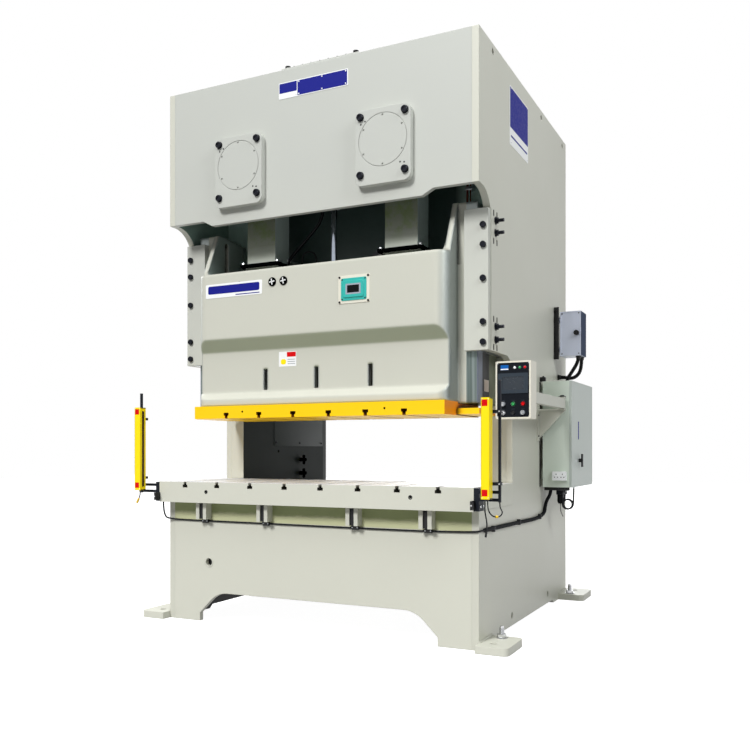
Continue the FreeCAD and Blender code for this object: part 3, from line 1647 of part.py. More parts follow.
CLAMP_GAP = 5
CLAMP_BLOCK = 100
CLAMP_ARM = 20
CLAMP_HEIGHTS = (14, 64)
GRIP_LOW = 96
GRIP_HIGH = 87
GRIP_HALF = 10
GRIP_REACH = 16


def build_curtains():
    bars = []
    posts = []
    y = back(S.curtain_y)
    for side in SIDES.values():
        x = side * S.curtain_x
        half_x = S.curtain_width / 2
        half_y = S.curtain_depth / 2
        bars.append(box((x - half_x, x + half_x), (y - half_y, y + half_y),
                        (S.curtain_bottom, S.curtain_top)))
        post_x = side * S.post_x
        half = S.post_side / 2
        post = box((post_x - half, post_x + half),
                   (back(S.post_y) - half, back(S.post_y) + half),
                   (S.post_bottom, S.post_top))
        pieces = [post]
        inner = S.bolster_half_width
        block = (inner, inner + 36) if side > 0 else (-inner - 36, -inner)
        pieces.append(box(block, (back(S.post_y) + CLAMP_GAP,
                                  back(S.post_y) + CLAMP_GAP + CLAMP_BLOCK),
                          (S.table_top + CLAMP_GAP,
                           S.table_top + S.bolster_thickness - CLAMP_GAP)))
        for height in (S.post_bottom + height for height in CLAMP_HEIGHTS):
            arm = (inner + 30, S.post_x) if side > 0 else (-S.post_x, -inner - 30)
            pieces.append(box(arm, (back(S.post_y) + CLAMP_GAP,
                                    back(S.post_y) + CLAMP_GAP + CLAMP_ARM),
                              (height - 10, height + 10)))
        for height in (S.curtain_bottom + GRIP_LOW, S.curtain_top - GRIP_HIGH):
            reach = S.post_x + GRIP_REACH
            grip = (S.curtain_x, reach) if side > 0 else (-reach, -S.curtain_x)
            pieces.append(box(grip, (y + half_y, back(S.post_y) + half),
                              (height - GRIP_HALF, height + GRIP_HALF)))
        posts.append(fuse(pieces))
    subpart("light_curtains", group(bars))
    subpart("curtain_posts", group(posts))


# ---------------------------------------------------------------- cords

CORD_ROUTES = {
    # name: (radius, points); x, distance back from the bed's front, height
    "lead_left": (4, (
        (-1418, -208, 1022), (-1418, -208, 998), (-1424, -205, 976), (-1437, -201, 958))),
    "lead_tail": (4.5, (
        (1402, -196, 1022), (1402, -196, 985), (1397, -183, 942), (1401, -167, 896),
        (1403, -153, 850), (1395, -146, 808))),
    "lead_loop": (4, (
        (1424, -208, 1022), (1424, -208, 978), (1430, -199, 938), (1452, -180, 908),
        (1490, -152, 908), (1502, -134, 938), (1478, -125, 962), (1478, -125, 998))),
    "front_cable": (6, (
        (-1312, -60, 935), (-1312, -60, 812), (-1272, -7, 786), (-940, -7, 784),
        (-380, -7, 783), (380, -7, 780), (940, -7, 780), (1250, -7, 788),
        (1309, -14, 795.6), (1309, 75, 795))),
    "side_sleeve": (13, (
        (1309, 75, 795), (1309, 700, 791), (1309, 1620, 775), (1310, 1662, 900),
        (1347, 1697, 968), (1347, 1697, 1030))),
    "conduit_front": (14, (
        (1500, 2050, 2157), (1500, 2050, 2110), (1438, 2050, 2012), (1398, 2050, 1955),
        (1398, 2050, 1902))),
    "conduit_rear": (14, (
        (1505, 2150, 2157), (1505, 2150, 2085), (1485, 2150, 2008), (1425, 2150, 1968),
        (1355, 2150, 1985), (1295, 2150, 1985))),
}
PLUG_RADIUS = 9
PLUG_LENGTH = 16
PLUG_FIT = 0.2
PIGTAIL_LENGTH = 46
SOCKET_RADIUS = 7.5
SOCKET_LENGTH = 36
SADDLES_Y = (260, 880, 1480)
RIB_PITCH = 6
RIB_DEPTH = 2.5
CONDUIT_WALL = 2


def cord_path(points):
    """Straight runs joined by tangent arcs, and the arcs' radii."""
    corners = [Vector(x, float(back(as_size(y))), z) for x, y, z in points]
    edges = []
    radii = []
    start = corners[0]
    for before, corner, after in zip(corners, corners[1:], corners[2:]):
        run_in = before - corner
        run_out = after - corner
        half_turn = (math.pi - run_in.getAngle(run_out)) / 2
        reach = 0.45 * min(run_in.Length, run_out.Length)
        radius = reach / math.tan(half_turn)
        first = corner + Vector(run_in).normalize() * reach
        last = corner + Vector(run_out).normalize() * reach
        inward = (Vector(run_in).normalize() + Vector(run_out).normalize()).normalize()
        middle = corner + inward * (radius / math.cos(half_turn) - radius)
        edges.append(Part.LineSegment(start, first).toShape())
        edges.append(Part.Arc(first, middle, last).toShape())
        radii.append(round(radius))
        start = last
    edges.append(Part.LineSegment(start, corners[-1]).toShape())
    return edges, radii


def tube_along(edges, radius):
    """A solid tube along joined edges."""
    start = edges[0].valueAt(edges[0].FirstParameter)
    heading = edges[0].tangentAt(edges[0].FirstParameter)
    section = Part.Wire(Part.makeCircle(radius, start, heading))
    return Part.Wire(edges).makePipeShell([section], True, False)


def ribbed_tube(edges, radius):
    """A corrugated conduit with its bore; every rib is four circles."""
    length = sum(edge.Length for edge in edges)
    count = int(length / RIB_PITCH)
    pitch = length / count
    stations = [(0, radius - RIB_DEPTH)]
    for rib in range(count):
        for share, depth in ((0.1, RIB_DEPTH), (0.35, 0), (0.65, 0), (0.9, RIB_DEPTH)):
            stations.append(((rib + share) * pitch, radius - depth))
    stations.append((length, radius - RIB_DEPTH))
    circles = []
    for distance, size in stations:
        for edge in edges:
            if distance <= edge.Length + 1e-6:
                break
            distance -= edge.Length
        along_edge = edge.getParameterByLength(min(distance, edge.Length))
        heading = edge.tangentAt(along_edge)
        level = Vector(0, 1, 0)
        turn = FreeCAD.Rotation(level, heading.cross(level), heading, "ZXY")
        circle = Part.makeCircle(size)
        circle.Placement = FreeCAD.Placement(edge.valueAt(along_edge), turn)
        circles.append(Part.Wire(circle))
    ribs = Part.makeLoft(circles, True, True)
    return ribs.cut(tube_along(edges, radius - RIB_DEPTH - CONDUIT_WALL))


def solid_feature(shape):
    """A free-form solid as an object of the document."""
    feature = document.addObject("Part::Feature", "Solid")
    feature.Shape = shape
    return feature


def biarc(start, heading, end, end_heading):
    """Two tangent arcs between two points with given headings."""
    span = end - start
    both = heading + end_heading
    spread = 2 * (1 - heading.dot(end_heading))
    along_both = span.dot(both)
    reach = (math.sqrt(along_both ** 2 + spread * span.dot(span)) - along_both) / spread
    joint = (start + end + (heading - end_heading) * reach) / 2

    def arc(first, first_heading, last):
        chord = last - first
        toward = (first_heading + Vector(chord).normalize()).normalize()
        half = first_heading.getAngle(chord) / 2
        middle = first + toward * (chord.Length / 2 / math.cos(half))
        return Part.Arc(first, middle, last).toShape()

    second = arc(end, end_heading * -1, joint)
    return [arc(start, heading, joint), second]


COIL_CENTRE = (1474, 1742, 880)
COIL_RADIUS = 40
COIL_PITCH = 13
COIL_HALF_TURNS = 7
COIL_LEAN = 12
HOSE_RADIUS = 5


def hose_coil():
    """Spare air hose in a small upright coil that hangs from two glands."""
    centre = Vector(COIL_CENTRE[0], float(back(as_size(COIL_CENTRE[1]))), COIL_CENTRE[2])

    def station(step):
        angle = math.pi * (1 + step / 2)
        place_now = centre + Vector(COIL_RADIUS * math.cos(angle),
                                    COIL_PITCH * step / 4,
                                    COIL_RADIUS * math.sin(angle))
        heading = Vector(-COIL_RADIUS * math.sin(angle), COIL_PITCH / (2 * math.pi),
                         COIL_RADIUS * math.cos(angle)).normalize()
        return place_now, heading

    def hanger(step, lean):
        """Top and foot of the straight run below a gland."""
        point = station(step)[0]
        top = Vector(point.x, point.y + lean, float(S.cabinet_bottom))
        return top, top - Vector(0, 0, 2 * HOSE_RADIUS)

    down = Vector(0, 0, -1)
    last = 2 * COIL_HALF_TURNS
    first_top, first_foot = hanger(0, -COIL_LEAN)
    last_top, last_foot = hanger(last, COIL_LEAN)
    edges = [Part.LineSegment(first_top, first_foot).toShape()]
    edges += biarc(first_foot, down, *station(0))
    for step in range(last):
        edges += biarc(*station(step), *station(step + 1))
    edges += biarc(*station(last), last_foot, down * -1)
    edges.append(Part.LineSegment(last_foot, last_top).toShape())
    print(f"hose coil: least gap to itself {COIL_PITCH - 2 * HOSE_RADIUS:.1f} mm")
    return tube_along(edges, HOSE_RADIUS)


def air_unit():
    """Filter and regulator under the cabinet, with a gauge and a drain pipe."""
    top = S.cabinet_bottom
    x = S.air_x
    half = S.air_half
    filter_y = back(S.filter_y)
    regulator_y = back(S.regulator_y)
    pieces = []
    for y, radius, bottom in ((filter_y, half - 5, S.filter_bottom),
                              (regulator_y, half - 9, S.regulator_bottom)):
        pieces.append(box((x - half, x + half), (y - half, y + half),
                          (top - S.air_head, top)))
        pieces.append(rod("z", x, y, bottom, top - S.air_head + BITE, radius))
    pieces.append(box((x - half / 2, x + half / 2), (filter_y, regulator_y),
                      (top - S.air_head / 2, top)))
    pieces.append(rod("x", filter_y, top - S.air_head / 2, x, S.gauge_end,
                      S.gauge_radius))
    pieces.append(rod("z", x, filter_y, S.drain_bottom, S.filter_bottom + BITE, 3))
    return pieces


def build_cords():
    for name in ("lead_left", "lead_tail", "lead_loop"):
        radius, points = CORD_ROUTES[name]
        edges, radii = cord_path(points)
        tube = tube_along(edges, radius)
        length = sum(edge.Length for edge in edges)
        print(f"{name}: radii {radii}, volume over section times length "
              f"{tube.Volume / (math.pi * radius ** 2 * length):.4f}")
        subpart(name, solid_feature(tube))

    cables = []
    for name in ("front_cable", "side_sleeve"):
        radius, points = CORD_ROUTES[name]
        edges, radii = cord_path(points)
        print(f"{name}: radii {radii}")
        cables.append(solid_feature(tube_along(edges, radius)))
    front_edges = cord_path(CORD_ROUTES["front_cable"][1])[0]
    passage = tube_along(front_edges, CORD_ROUTES["front_cable"][0] + 0.2)
    for x in (-S.lifter_outer_x, -S.lifter_inner_x, S.lifter_inner_x, S.lifter_outer_x):
        clip = box((x - S.clip_half, x + S.clip_half), (-REAR - S.clip_depth, -REAR),
                   (S.clip_bottom, S.clip_top))
        cables.append(cut(clip, [solid_feature(passage)]))
    radius, points = CORD_ROUTES["side_sleeve"]
    passage = tube_along(cord_path(points)[0], radius + 0.2)
    for y in SADDLES_Y:
        saddle = box((S.half_width, points[0][0]),
                     (back(as_size(y)) - radius, back(as_size(y)) + radius),
                     (TABLE_UNDERSIDE - 2 * radius, TABLE_UNDERSIDE + 2 * radius))
        cables.append(cut(saddle, [solid_feature(passage)]))
    subpart("bed_cables", group(cables))

    conduits = []
    for name in ("conduit_front", "conduit_rear"):
        radius, points = CORD_ROUTES[name]
        edges, radii = cord_path(points)
        print(f"{name}: radii {radii}")
        conduits.append(solid_feature(ribbed_tube(edges, radius)))
    subpart("conduits", group(conduits))

    yellow = CORD_ROUTES["lead_loop"][1]
    start, end = (Vector(p[0], float(back(as_size(p[1]))), p[2]) for p in yellow[3:5])
    heading = (end - start).normalize()
    middle = (start + end) / 2
    half = PLUG_LENGTH / 2
    sleeve = Part.makeCylinder(PLUG_RADIUS, PLUG_LENGTH, middle - heading * half, heading)
    bore = CORD_ROUTES["lead_loop"][0] + PLUG_FIT
    plug = sleeve.cut(Part.makeCylinder(bore, PLUG_LENGTH + 2, middle - heading * (half + 1),
                                        heading))
    before, last = (Vector(p[0], float(back(as_size(p[1]))), p[2])
                    for p in CORD_ROUTES["lead_left"][1][-2:])
    heading = (last - before).normalize()
    pigtail = Part.makeCylinder(PLUG_RADIUS, PIGTAIL_LENGTH, last, heading)
    before, last = (Vector(p[0], float(back(as_size(p[1]))), p[2])
                    for p in CORD_ROUTES["lead_tail"][1][-2:])
    heading = (last - before).normalize()
    socket = Part.makeCylinder(SOCKET_RADIUS, SOCKET_LENGTH, last, heading)
    subpart("lead_plugs", group([
        solid_feature(plug), solid_feature(pigtail), solid_feature(socket)]))
    subpart("air_unit", group([fuse(air_unit()), solid_feature(hose_coil())]))


# ---------------------------------------------------------------- build and save

build_frame()
build_feet()
build_bolster()
build_guides()
build_crank_covers()
build_cranks()
build_drive()
build_motor()
build_balance()
build_slide()
build_cabinet()
build_switch_box()
build_pendant()
build_curtains()
build_cords()
document.recompute()

failed = [part.Label for part in document.Objects
          if any(state in ("Invalid", "Error") for state in part.State)]
if failed:
    raise RuntimeError(f"these objects failed: {failed}")
for part in SUBPARTS:
    if part.Shape.isNull() or not part.Shape.isValid():
        raise RuntimeError(f"{part.Label} has no valid shape")

os.makedirs("parts", exist_ok=True)
for part in SUBPARTS:
    part.Shape.exportStep(os.path.join("parts", part.Label + ".step"))
    print(f"{part.Label}: {len(part.Shape.Solids)} solid(s), "
          f"{part.Shape.Volume / 1e9:.4f} m3")
print(f"{len(SUBPARTS)} sub-parts")
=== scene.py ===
"""Dressed model of a two-point stamping press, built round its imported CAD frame."""
import json
import math
from itertools import product

import bmesh
import bpy
from mathutils import Matrix, Vector

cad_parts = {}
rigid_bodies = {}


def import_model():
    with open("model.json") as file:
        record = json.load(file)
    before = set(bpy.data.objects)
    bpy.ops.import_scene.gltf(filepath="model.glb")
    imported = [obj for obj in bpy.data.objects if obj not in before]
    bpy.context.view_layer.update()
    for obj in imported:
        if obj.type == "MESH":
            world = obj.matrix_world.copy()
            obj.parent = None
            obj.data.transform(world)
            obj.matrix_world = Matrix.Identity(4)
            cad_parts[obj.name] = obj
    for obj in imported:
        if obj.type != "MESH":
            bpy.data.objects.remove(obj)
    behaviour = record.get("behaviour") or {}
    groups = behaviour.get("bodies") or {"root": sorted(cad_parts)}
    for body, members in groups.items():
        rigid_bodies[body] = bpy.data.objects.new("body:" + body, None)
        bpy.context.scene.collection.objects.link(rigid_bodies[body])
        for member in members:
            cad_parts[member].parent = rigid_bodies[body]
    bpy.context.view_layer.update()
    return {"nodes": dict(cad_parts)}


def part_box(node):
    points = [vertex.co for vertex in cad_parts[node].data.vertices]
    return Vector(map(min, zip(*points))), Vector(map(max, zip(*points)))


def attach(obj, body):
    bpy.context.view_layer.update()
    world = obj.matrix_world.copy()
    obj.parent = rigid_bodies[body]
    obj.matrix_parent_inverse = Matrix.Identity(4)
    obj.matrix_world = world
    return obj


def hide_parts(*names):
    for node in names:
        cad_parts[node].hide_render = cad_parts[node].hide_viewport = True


for leftover in list(bpy.data.objects):
    bpy.data.objects.remove(leftover)
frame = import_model()

FRONT = -1.222          # front faces of the crown and the bed
SLIDE_FRONT = -1.202
SLIDE_LOWER_FRONT = -1.134
SIDE = 1.295            # outer faces of the side plates
CROWN_TOP = 4.16
POINT = 0.607           # cranks and rods, from the middle
UP, BACK, RIGHT = Vector((0, 0, 1)), Vector((0, 1, 0)), Vector((1, 0, 0))
DOWN, FORWARD = Vector((0, 0, -1)), Vector((0, -1, 0))


# ---------------------------------------------------------------- materials

NOISE_RANGE = (0.3, 0.7)    # where most of a noise texture's values lie


def srgb(red, green, blue):
    """A colour as it looks on a screen, as the linear colour that a shader takes."""
    def linear(level):
        level /= 255
        return level / 12.92 if level <= 0.04045 else ((level + 0.055) / 1.055) ** 2.4
    return (linear(red), linear(green), linear(blue), 1)


def scaled(colour, factor):
    return tuple(min(1, level * factor) for level in colour[:3]) + (1,)


class Look:
    """One node material, put together from textures in the object's own metres."""

    def __init__(self, name):
        self.material = bpy.data.materials.new(name)
        self.material.use_nodes = True
        self.tree = self.material.node_tree
        self.shader = self.tree.nodes["Principled BSDF"]
        self.coords = self.node("ShaderNodeTexCoord")

    def node(self, kind, **settings):
        made = self.tree.nodes.new(kind)
        for key, value in settings.items():
            setattr(made, key, value)
        return made

    def join(self, source, target):
        self.tree.links.new(source, target)

    def put(self, socket, value):
        if isinstance(value, bpy.types.NodeSocket):
            self.join(value, socket)
        else:
            socket.default_value = value

    def noise(self, scale, detail=3, stretch=(1, 1, 1), rough=0.55):
        mapping = self.node("ShaderNodeMapping")
        mapping.inputs["Scale"].default_value = stretch
        self.join(self.coords.outputs["Object"], mapping.inputs["Vector"])
        texture = self.node("ShaderNodeTexNoise")
        self.join(mapping.outputs["Vector"], texture.inputs["Vector"])
        texture.inputs["Scale"].default_value = scale
        texture.inputs["Detail"].default_value = detail
        texture.inputs["Roughness"].default_value = rough
        return texture.outputs["Fac"]

    def axis(self, name, space="Object"):
        parts = self.node("ShaderNodeSeparateXYZ")
        self.join(self.coords.outputs[space], parts.inputs[0])
        return parts.outputs[name]

    def spread(self, value, low, high, start=0.0, end=1.0):
        """Value from low to high, drawn out over start to end and held there."""
        ramp = self.node("ShaderNodeMapRange", clamp=True)
        self.put(ramp.inputs["Value"], value)
        for label, number in (("From Min", low), ("From Max", high),
                              ("To Min", start), ("To Max", end)):
            ramp.inputs[label].default_value = number
        return ramp.outputs["Result"]

    def maths(self, operation, first, second=0.0):
        made = self.node("ShaderNodeMath", operation=operation)
        self.put(made.inputs[0], first)
        self.put(made.inputs[1], second)
        return made.outputs[0]

    def blend(self, factor, first, second):
        made = self.node("ShaderNodeMix", data_type="RGBA")
        self.put(made.inputs["Factor"], factor)
        self.put(made.inputs["A"], first)
        self.put(made.inputs["B"], second)
        return made.outputs["Result"]

    def edges(self, low=0.505, high=0.56):
        """1 on worn outer edges, broken up by noise."""
        shape = self.node("ShaderNodeNewGeometry")
        raw = self.spread(shape.outputs["Pointiness"], low, high)
        return self.maths("MULTIPLY", raw, self.spread(self.noise(38, 4), 0.42, 0.66))

    def recess_shade(self, reach, low, high):
        """1 deep in the object's own slots and corners, 0 on open faces: the mask for painted
        shade in recesses.
        """
        shade = self.node("ShaderNodeAmbientOcclusion", samples=6, only_local=True)
        shade.inputs["Distance"].default_value = reach
        return self.spread(shade.outputs["AO"], low, high, 1, 0)

    def facing(self, name):
        """1 on faces that look along the named axis, either way."""
        size = self.maths("ABSOLUTE", self.axis(name, "Normal"))
        return self.maths("GREATER_THAN", size, 0.6)

    def peel(self, strength):
        """A relief layer: the orange peel of sprayed enamel."""
        return self.noise(230, 2), 0.0004, strength

    def relief(self, *layers, corner=0.0):
        """Bump from (height, depth in metres, strength) layers, corners shaded round."""
        under = None
        if corner:
            bevel = self.node("ShaderNodeBevel", samples=6)
            bevel.inputs["Radius"].default_value = corner
            under = bevel.outputs["Normal"]
        for height, depth, strength in layers:
            bump = self.node("ShaderNodeBump")
            bump.inputs["Distance"].default_value = depth
            bump.inputs["Strength"].default_value = strength
            self.join(height, bump.inputs["Height"])
            if under is not None:
                self.join(under, bump.inputs["Normal"])
            under = bump.outputs["Normal"]
        self.join(under, self.shader.inputs["Normal"])

    def set(self, **values):
        for key, value in values.items():
            self.put(self.shader.inputs[key.replace("_", " ")], value)

    def dull(self, low, high, scale, detail):
        """Roughness that drifts between low and high in patches."""
        self.set(Roughness=self.spread(self.noise(scale, detail), *NOISE_RANGE, low, high))


def mottled(look, colour, amount):
    """The colour with broad clouds and fine grain, amount either way."""
    cloud = look.spread(look.noise(0.9, 3), *NOISE_RANGE)
    fine = look.spread(look.noise(60, 2), *NOISE_RANGE)
    level = look.maths("ADD", look.maths("MULTIPLY", cloud, 0.75),
                       look.maths("MULTIPLY", fine, 0.25))
    return look.blend(level, scaled(colour, 1 - amount), scaled(colour, 1 + amount))


def enamel(name, colour, rough=0.42, amount=0.03, peel=0.35, worn=None, coat=0.12,
           slots=None, corner=0.0, gloss=0.3, inside=False, painted_top_shade=None):
    """Sprayed enamel: orange peel, soft clouds, a little wear along its edges; on request also
    painted shade: darker towards the top, dark inner faces with a pale band high up, orange
    sides and near black slots.
    """
    look = Look(name)
    base = mottled(look, colour, amount)
    # Painted shade: from 1 m up to 3.4 m the colour turns darker and greyer, standing in for
    # less light on the upper frame.
    if painted_top_shade:
        high = look.spread(look.axis("Z"), 1.0, 3.4)
        base = look.blend(high, base, painted_top_shade)
    # Painted shade and light: faces turned towards the middle are near black low down, dark
    # grey-green from 0.5 m, and pale green from 2.95 m, where they show lit.
    if inside:
        inwards = look.maths("MULTIPLY", look.axis("X"), look.axis("X", "Normal"))
        painted_inner_shade_and_light = look.blend(look.spread(look.axis("Z"), 0.3, 0.5), srgb(3, 4, 4),
                            srgb(34, 40, 37))
        painted_inner_shade_and_light = look.blend(look.spread(look.axis("Z"), 2.75, 2.95), painted_inner_shade_and_light,
                            srgb(150, 178, 166))
        base = look.blend(look.maths("LESS_THAN", inwards, -0.6), base, painted_inner_shade_and_light)
    # Painted shade: sides facing X turn orange, and the depths of the slots turn near black.
    if slots:
        shade = look.facing("X")
        base = look.blend(look.maths("MULTIPLY", shade, 0.75), base, srgb(235, 110, 10))
        base = look.blend(look.recess_shade(slots, 0.5, 0.9), base, scaled(colour, 0.01))
    if worn:
        base = look.blend(look.edges(), base, worn)
    grime = look.spread(look.noise(2.4, 5, rough=0.62), 0.6, 0.85, 0, 0.07)
    base = look.blend(grime, base, scaled(colour, 0.72))
    look.set(Base_Color=base, Coat_Weight=coat, Coat_Roughness=0.3,
             Specular_IOR_Level=gloss)
    look.dull(rough - 0.02, rough + 0.03, 1.6, 3)
    look.relief(look.peel(peel), (look.noise(7, 1), 0.002, 0.02),
                corner=corner)
    return look.material


def machined(name, colour, rough=0.3, stretch=(1, 60, 60), oil=0.12, wear=0.2):
    """Ground or turned steel: fine tool lines, oil film in patches, dull spots."""
    look = Look(name)
    lines = look.noise(22, 5, stretch)
    film = look.spread(look.noise(3.5, 5, rough=0.65), 0.42, 0.7)
    tone = look.blend(look.spread(lines, 0.35, 0.65), scaled(colour, 0.84),
                      scaled(colour, 1.12))
    tone = look.blend(look.maths("MULTIPLY", film, oil), tone, (0.1, 0.085, 0.06, 1))
    spots = look.spread(look.noise(60, 5, rough=0.7), 0.62, 0.72, 0, wear)
    tone = look.blend(spots, tone, (0.16, 0.13, 0.1, 1))
    look.set(Base_Color=tone, Metallic=1.0)
    look.dull(rough - 0.08, rough + 0.14, 14, 5)
    look.relief((lines, 0.0005, 0.22), (look.noise(90, 2), 0.0004, 0.08))
    return look.material


def cast(name, colour, rough=0.6, metal=0.6, bump=0.5):
    """Cast or blackened metal: sandy skin, lighter where it is rubbed."""
    look = Look(name)
    base = mottled(look, colour, 0.14)
    base = look.blend(look.edges(0.51, 0.6), base, scaled(colour, 1.5))
    look.set(Base_Color=base, Metallic=metal)
    look.dull(rough - 0.12, rough + 0.12, 31, 5)
    look.relief((look.noise(300, 3), 0.0008, bump), (look.noise(40, 3), 0.001, bump * 0.4))
    return look.material


def plastic(name, colour, rough=0.35, grain=0.15, amount=0.05, gloss=0.5):
    """Moulded plastic: fine grain, faint dust."""
    look = Look(name)
    base = mottled(look, colour, amount)
    dust = look.spread(look.noise(17, 6, rough=0.75), 0.55, 0.8, 0, 0.1 * gloss)
    look.set(Base_Color=look.blend(dust, base, srgb(170, 166, 156)),
             Specular_IOR_Level=gloss)
    look.dull(rough - 0.06, rough + 0.12, 55, 4)
    look.relief((look.noise(700, 2), 0.0003, grain))
    return look.material


def rubber(name, colour, rough=0.62, rings=0.0):
    """Rubber or cable sheath: dull, dusty, with scuffs."""
    look = Look(name)
    base = mottled(look, colour, 0.18)
    scuffs = look.spread(look.noise(70, 6, rough=0.8), 0.58, 0.75, 0, 0.35)
    look.set(Base_Color=look.blend(scuffs, base, scaled(colour, 2.0)),
             Specular_IOR_Level=0.15)
    look.dull(rough - 0.1, rough + 0.12, 45, 4)
    look.relief((look.noise(420, 3), 0.0006, 0.3 + rings))
    return look.material


PAINT = srgb(202, 202, 189)
LOOKS = {
    # Machine paint, with painted shade darker towards the top.
    "paint": enamel("machine_enamel", scaled(PAINT, 1.05), 0.4, 0.014, 0.34, coat=0.02,
                    corner=0.006, gloss=0.14, painted_top_shade=srgb(191, 193, 186)),
    # Side plates, with painted shade and light on their inward faces.
    "side": enamel("side_enamel", PAINT, 0.4, 0.014, 0.34, coat=0.03, corner=0.006,
                   gloss=0.25, inside=True),
    # Dark enamel for the throat's cover panels: painted shade.
    "inner": enamel("inner_painted_shade_enamel", srgb(38, 48, 46), 0.5, 0.05, 0.3, coat=0.02),
    # Yellow face plate: painted shade makes its sides orange and its slots near black.
    "yellow": enamel("yellow_enamel", srgb(255, 204, 0), 0.42, 0.015, 0.3, coat=0.03,
                     slots=0.045),
    "curtain": enamel("curtain_yellow_enamel", srgb(255, 226, 0), 0.4, 0.01, 0.1, coat=0.02),
    "cabinet": enamel("cabinet_enamel", srgb(212, 222, 210), 0.44, 0.012, 0.3),
    "door": enamel("door_enamel", srgb(188, 196, 190), 0.44, 0.012, 0.3),
    "box": enamel("switch_box_enamel", srgb(208, 213, 230), 0.42, 0.012, 0.3),
    # Painted shade: a darker blue-grey copy of the switch box's paint for its right side.
    "box_side": enamel("switch_box_side_shade", srgb(84, 92, 112), 0.6, 0.03, 0.2, coat=0.0,
                       gloss=0.0),
    "motor": enamel("motor_enamel", srgb(104, 120, 134), 0.48, 0.06, 0.5,
                    srgb(150, 150, 150)),
    "post": enamel("post_enamel", srgb(20, 24, 32), 0.5, 0.1, 0.3, coat=0.0, gloss=0.12),
    "steel": machined("ground_steel", srgb(186, 188, 190), 0.3),
    "bright": machined("bright_steel", srgb(205, 206, 208), 0.22, (40, 40, 4), 0.05, 0.08),
    "gear": machined("gear_steel", srgb(128, 128, 126), 0.36, (30, 2, 30), 0.4, 0.3),
    "chrome": machined("chrome", srgb(168, 176, 188), 0.16, (30, 30, 2), 0.02, 0.0),
    "copper": machined("copper_pipe", srgb(128, 66, 52), 0.45, (8, 8, 2), 0.25, 0.2),
    "zinc": machined("zinc_plate", srgb(190, 194, 196), 0.36, (14, 30, 3), 0.05, 0.1),
    "iron": cast("cast_iron", srgb(74, 76, 78), 0.55, 0.7),
    "bolt": plastic("black_oxide", srgb(9, 13, 24), 0.26, 0.2, 0.1, 0.18),
    "rubber": rubber("belt_rubber", srgb(34, 34, 34)),
    "sheath": rubber("cable_sheath", srgb(10, 12, 16), 0.55),
    "sleeve": rubber("woven_sleeve", srgb(8, 10, 13), 0.7, 0.6),
    "conduit": rubber("conduit_plastic", srgb(6, 7, 9), 0.5),
    # Flat black for black parts, and painted shade in slots and holes.
    "void": plastic("flat_black_and_hole_shade", srgb(3, 4, 4), 0.8, 0.2, 0.2, 0.0),
    "black": plastic("black_plastic", srgb(9, 10, 12), 0.34, gloss=0.3),
    "panel": plastic("black_panel", srgb(14, 18, 24), 0.55, 0.2, gloss=0.08),
    "green": plastic("green_plastic", srgb(20, 150, 70), 0.22),
    "red": plastic("red_plastic", srgb(214, 8, 14), 0.25, gloss=0.12),
    "white": plastic("white_plastic", srgb(250, 252, 254), 0.32),
    "cream": enamel("cream_enamel", srgb(224, 220, 204), 0.4, 0.02, 0.2),
    "teal": plastic("teal_plastic", srgb(50, 176, 166), 0.3, gloss=0.3),
    "blue": plastic("blue_print", srgb(22, 28, 128), 0.5, 0.03, 0.02, 0.1),
    "sign": plastic("pale_blue_print", srgb(14, 92, 170), 0.4, 0.05, 0.1, 0.1),
    "bezel": plastic("dark_bezel", srgb(50, 58, 66), 0.5, gloss=0.1),
    "screen": plastic("screen_glass", srgb(38, 46, 54), 0.2, 0.02, gloss=0.4),
    "label": enamel("white_print", srgb(240, 241, 240), 0.3, 0.015, 0.05),
    "tag": plastic("tag_plate", srgb(255, 240, 230), 0.5, gloss=0.1),
    "grey": plastic("grey_plastic", srgb(150, 154, 158), 0.36),
    "glass": plastic("display_glass", srgb(10, 12, 16), 0.12, 0.02, gloss=0.1),
    "lens": plastic("lens_strip", srgb(72, 52, 18), 0.3, 0.02, gloss=0.15),
    "plug": plastic("yellow_plastic", srgb(232, 190, 20), 0.35),
}

BOLSTER_TOP = 1.0885
SLIDE_SHELF = 2.64
# Height below which the slide's wings are streaked and its outer sides carry painted shade.
SIDE_OIL_AND_SHADE_TOP = 2.15
CROWN_CORNER = (0.86, 0.97)
TABLE_SHADE = (0.84, 0.86)
ROD_FOOT = (2.84, 2.95)


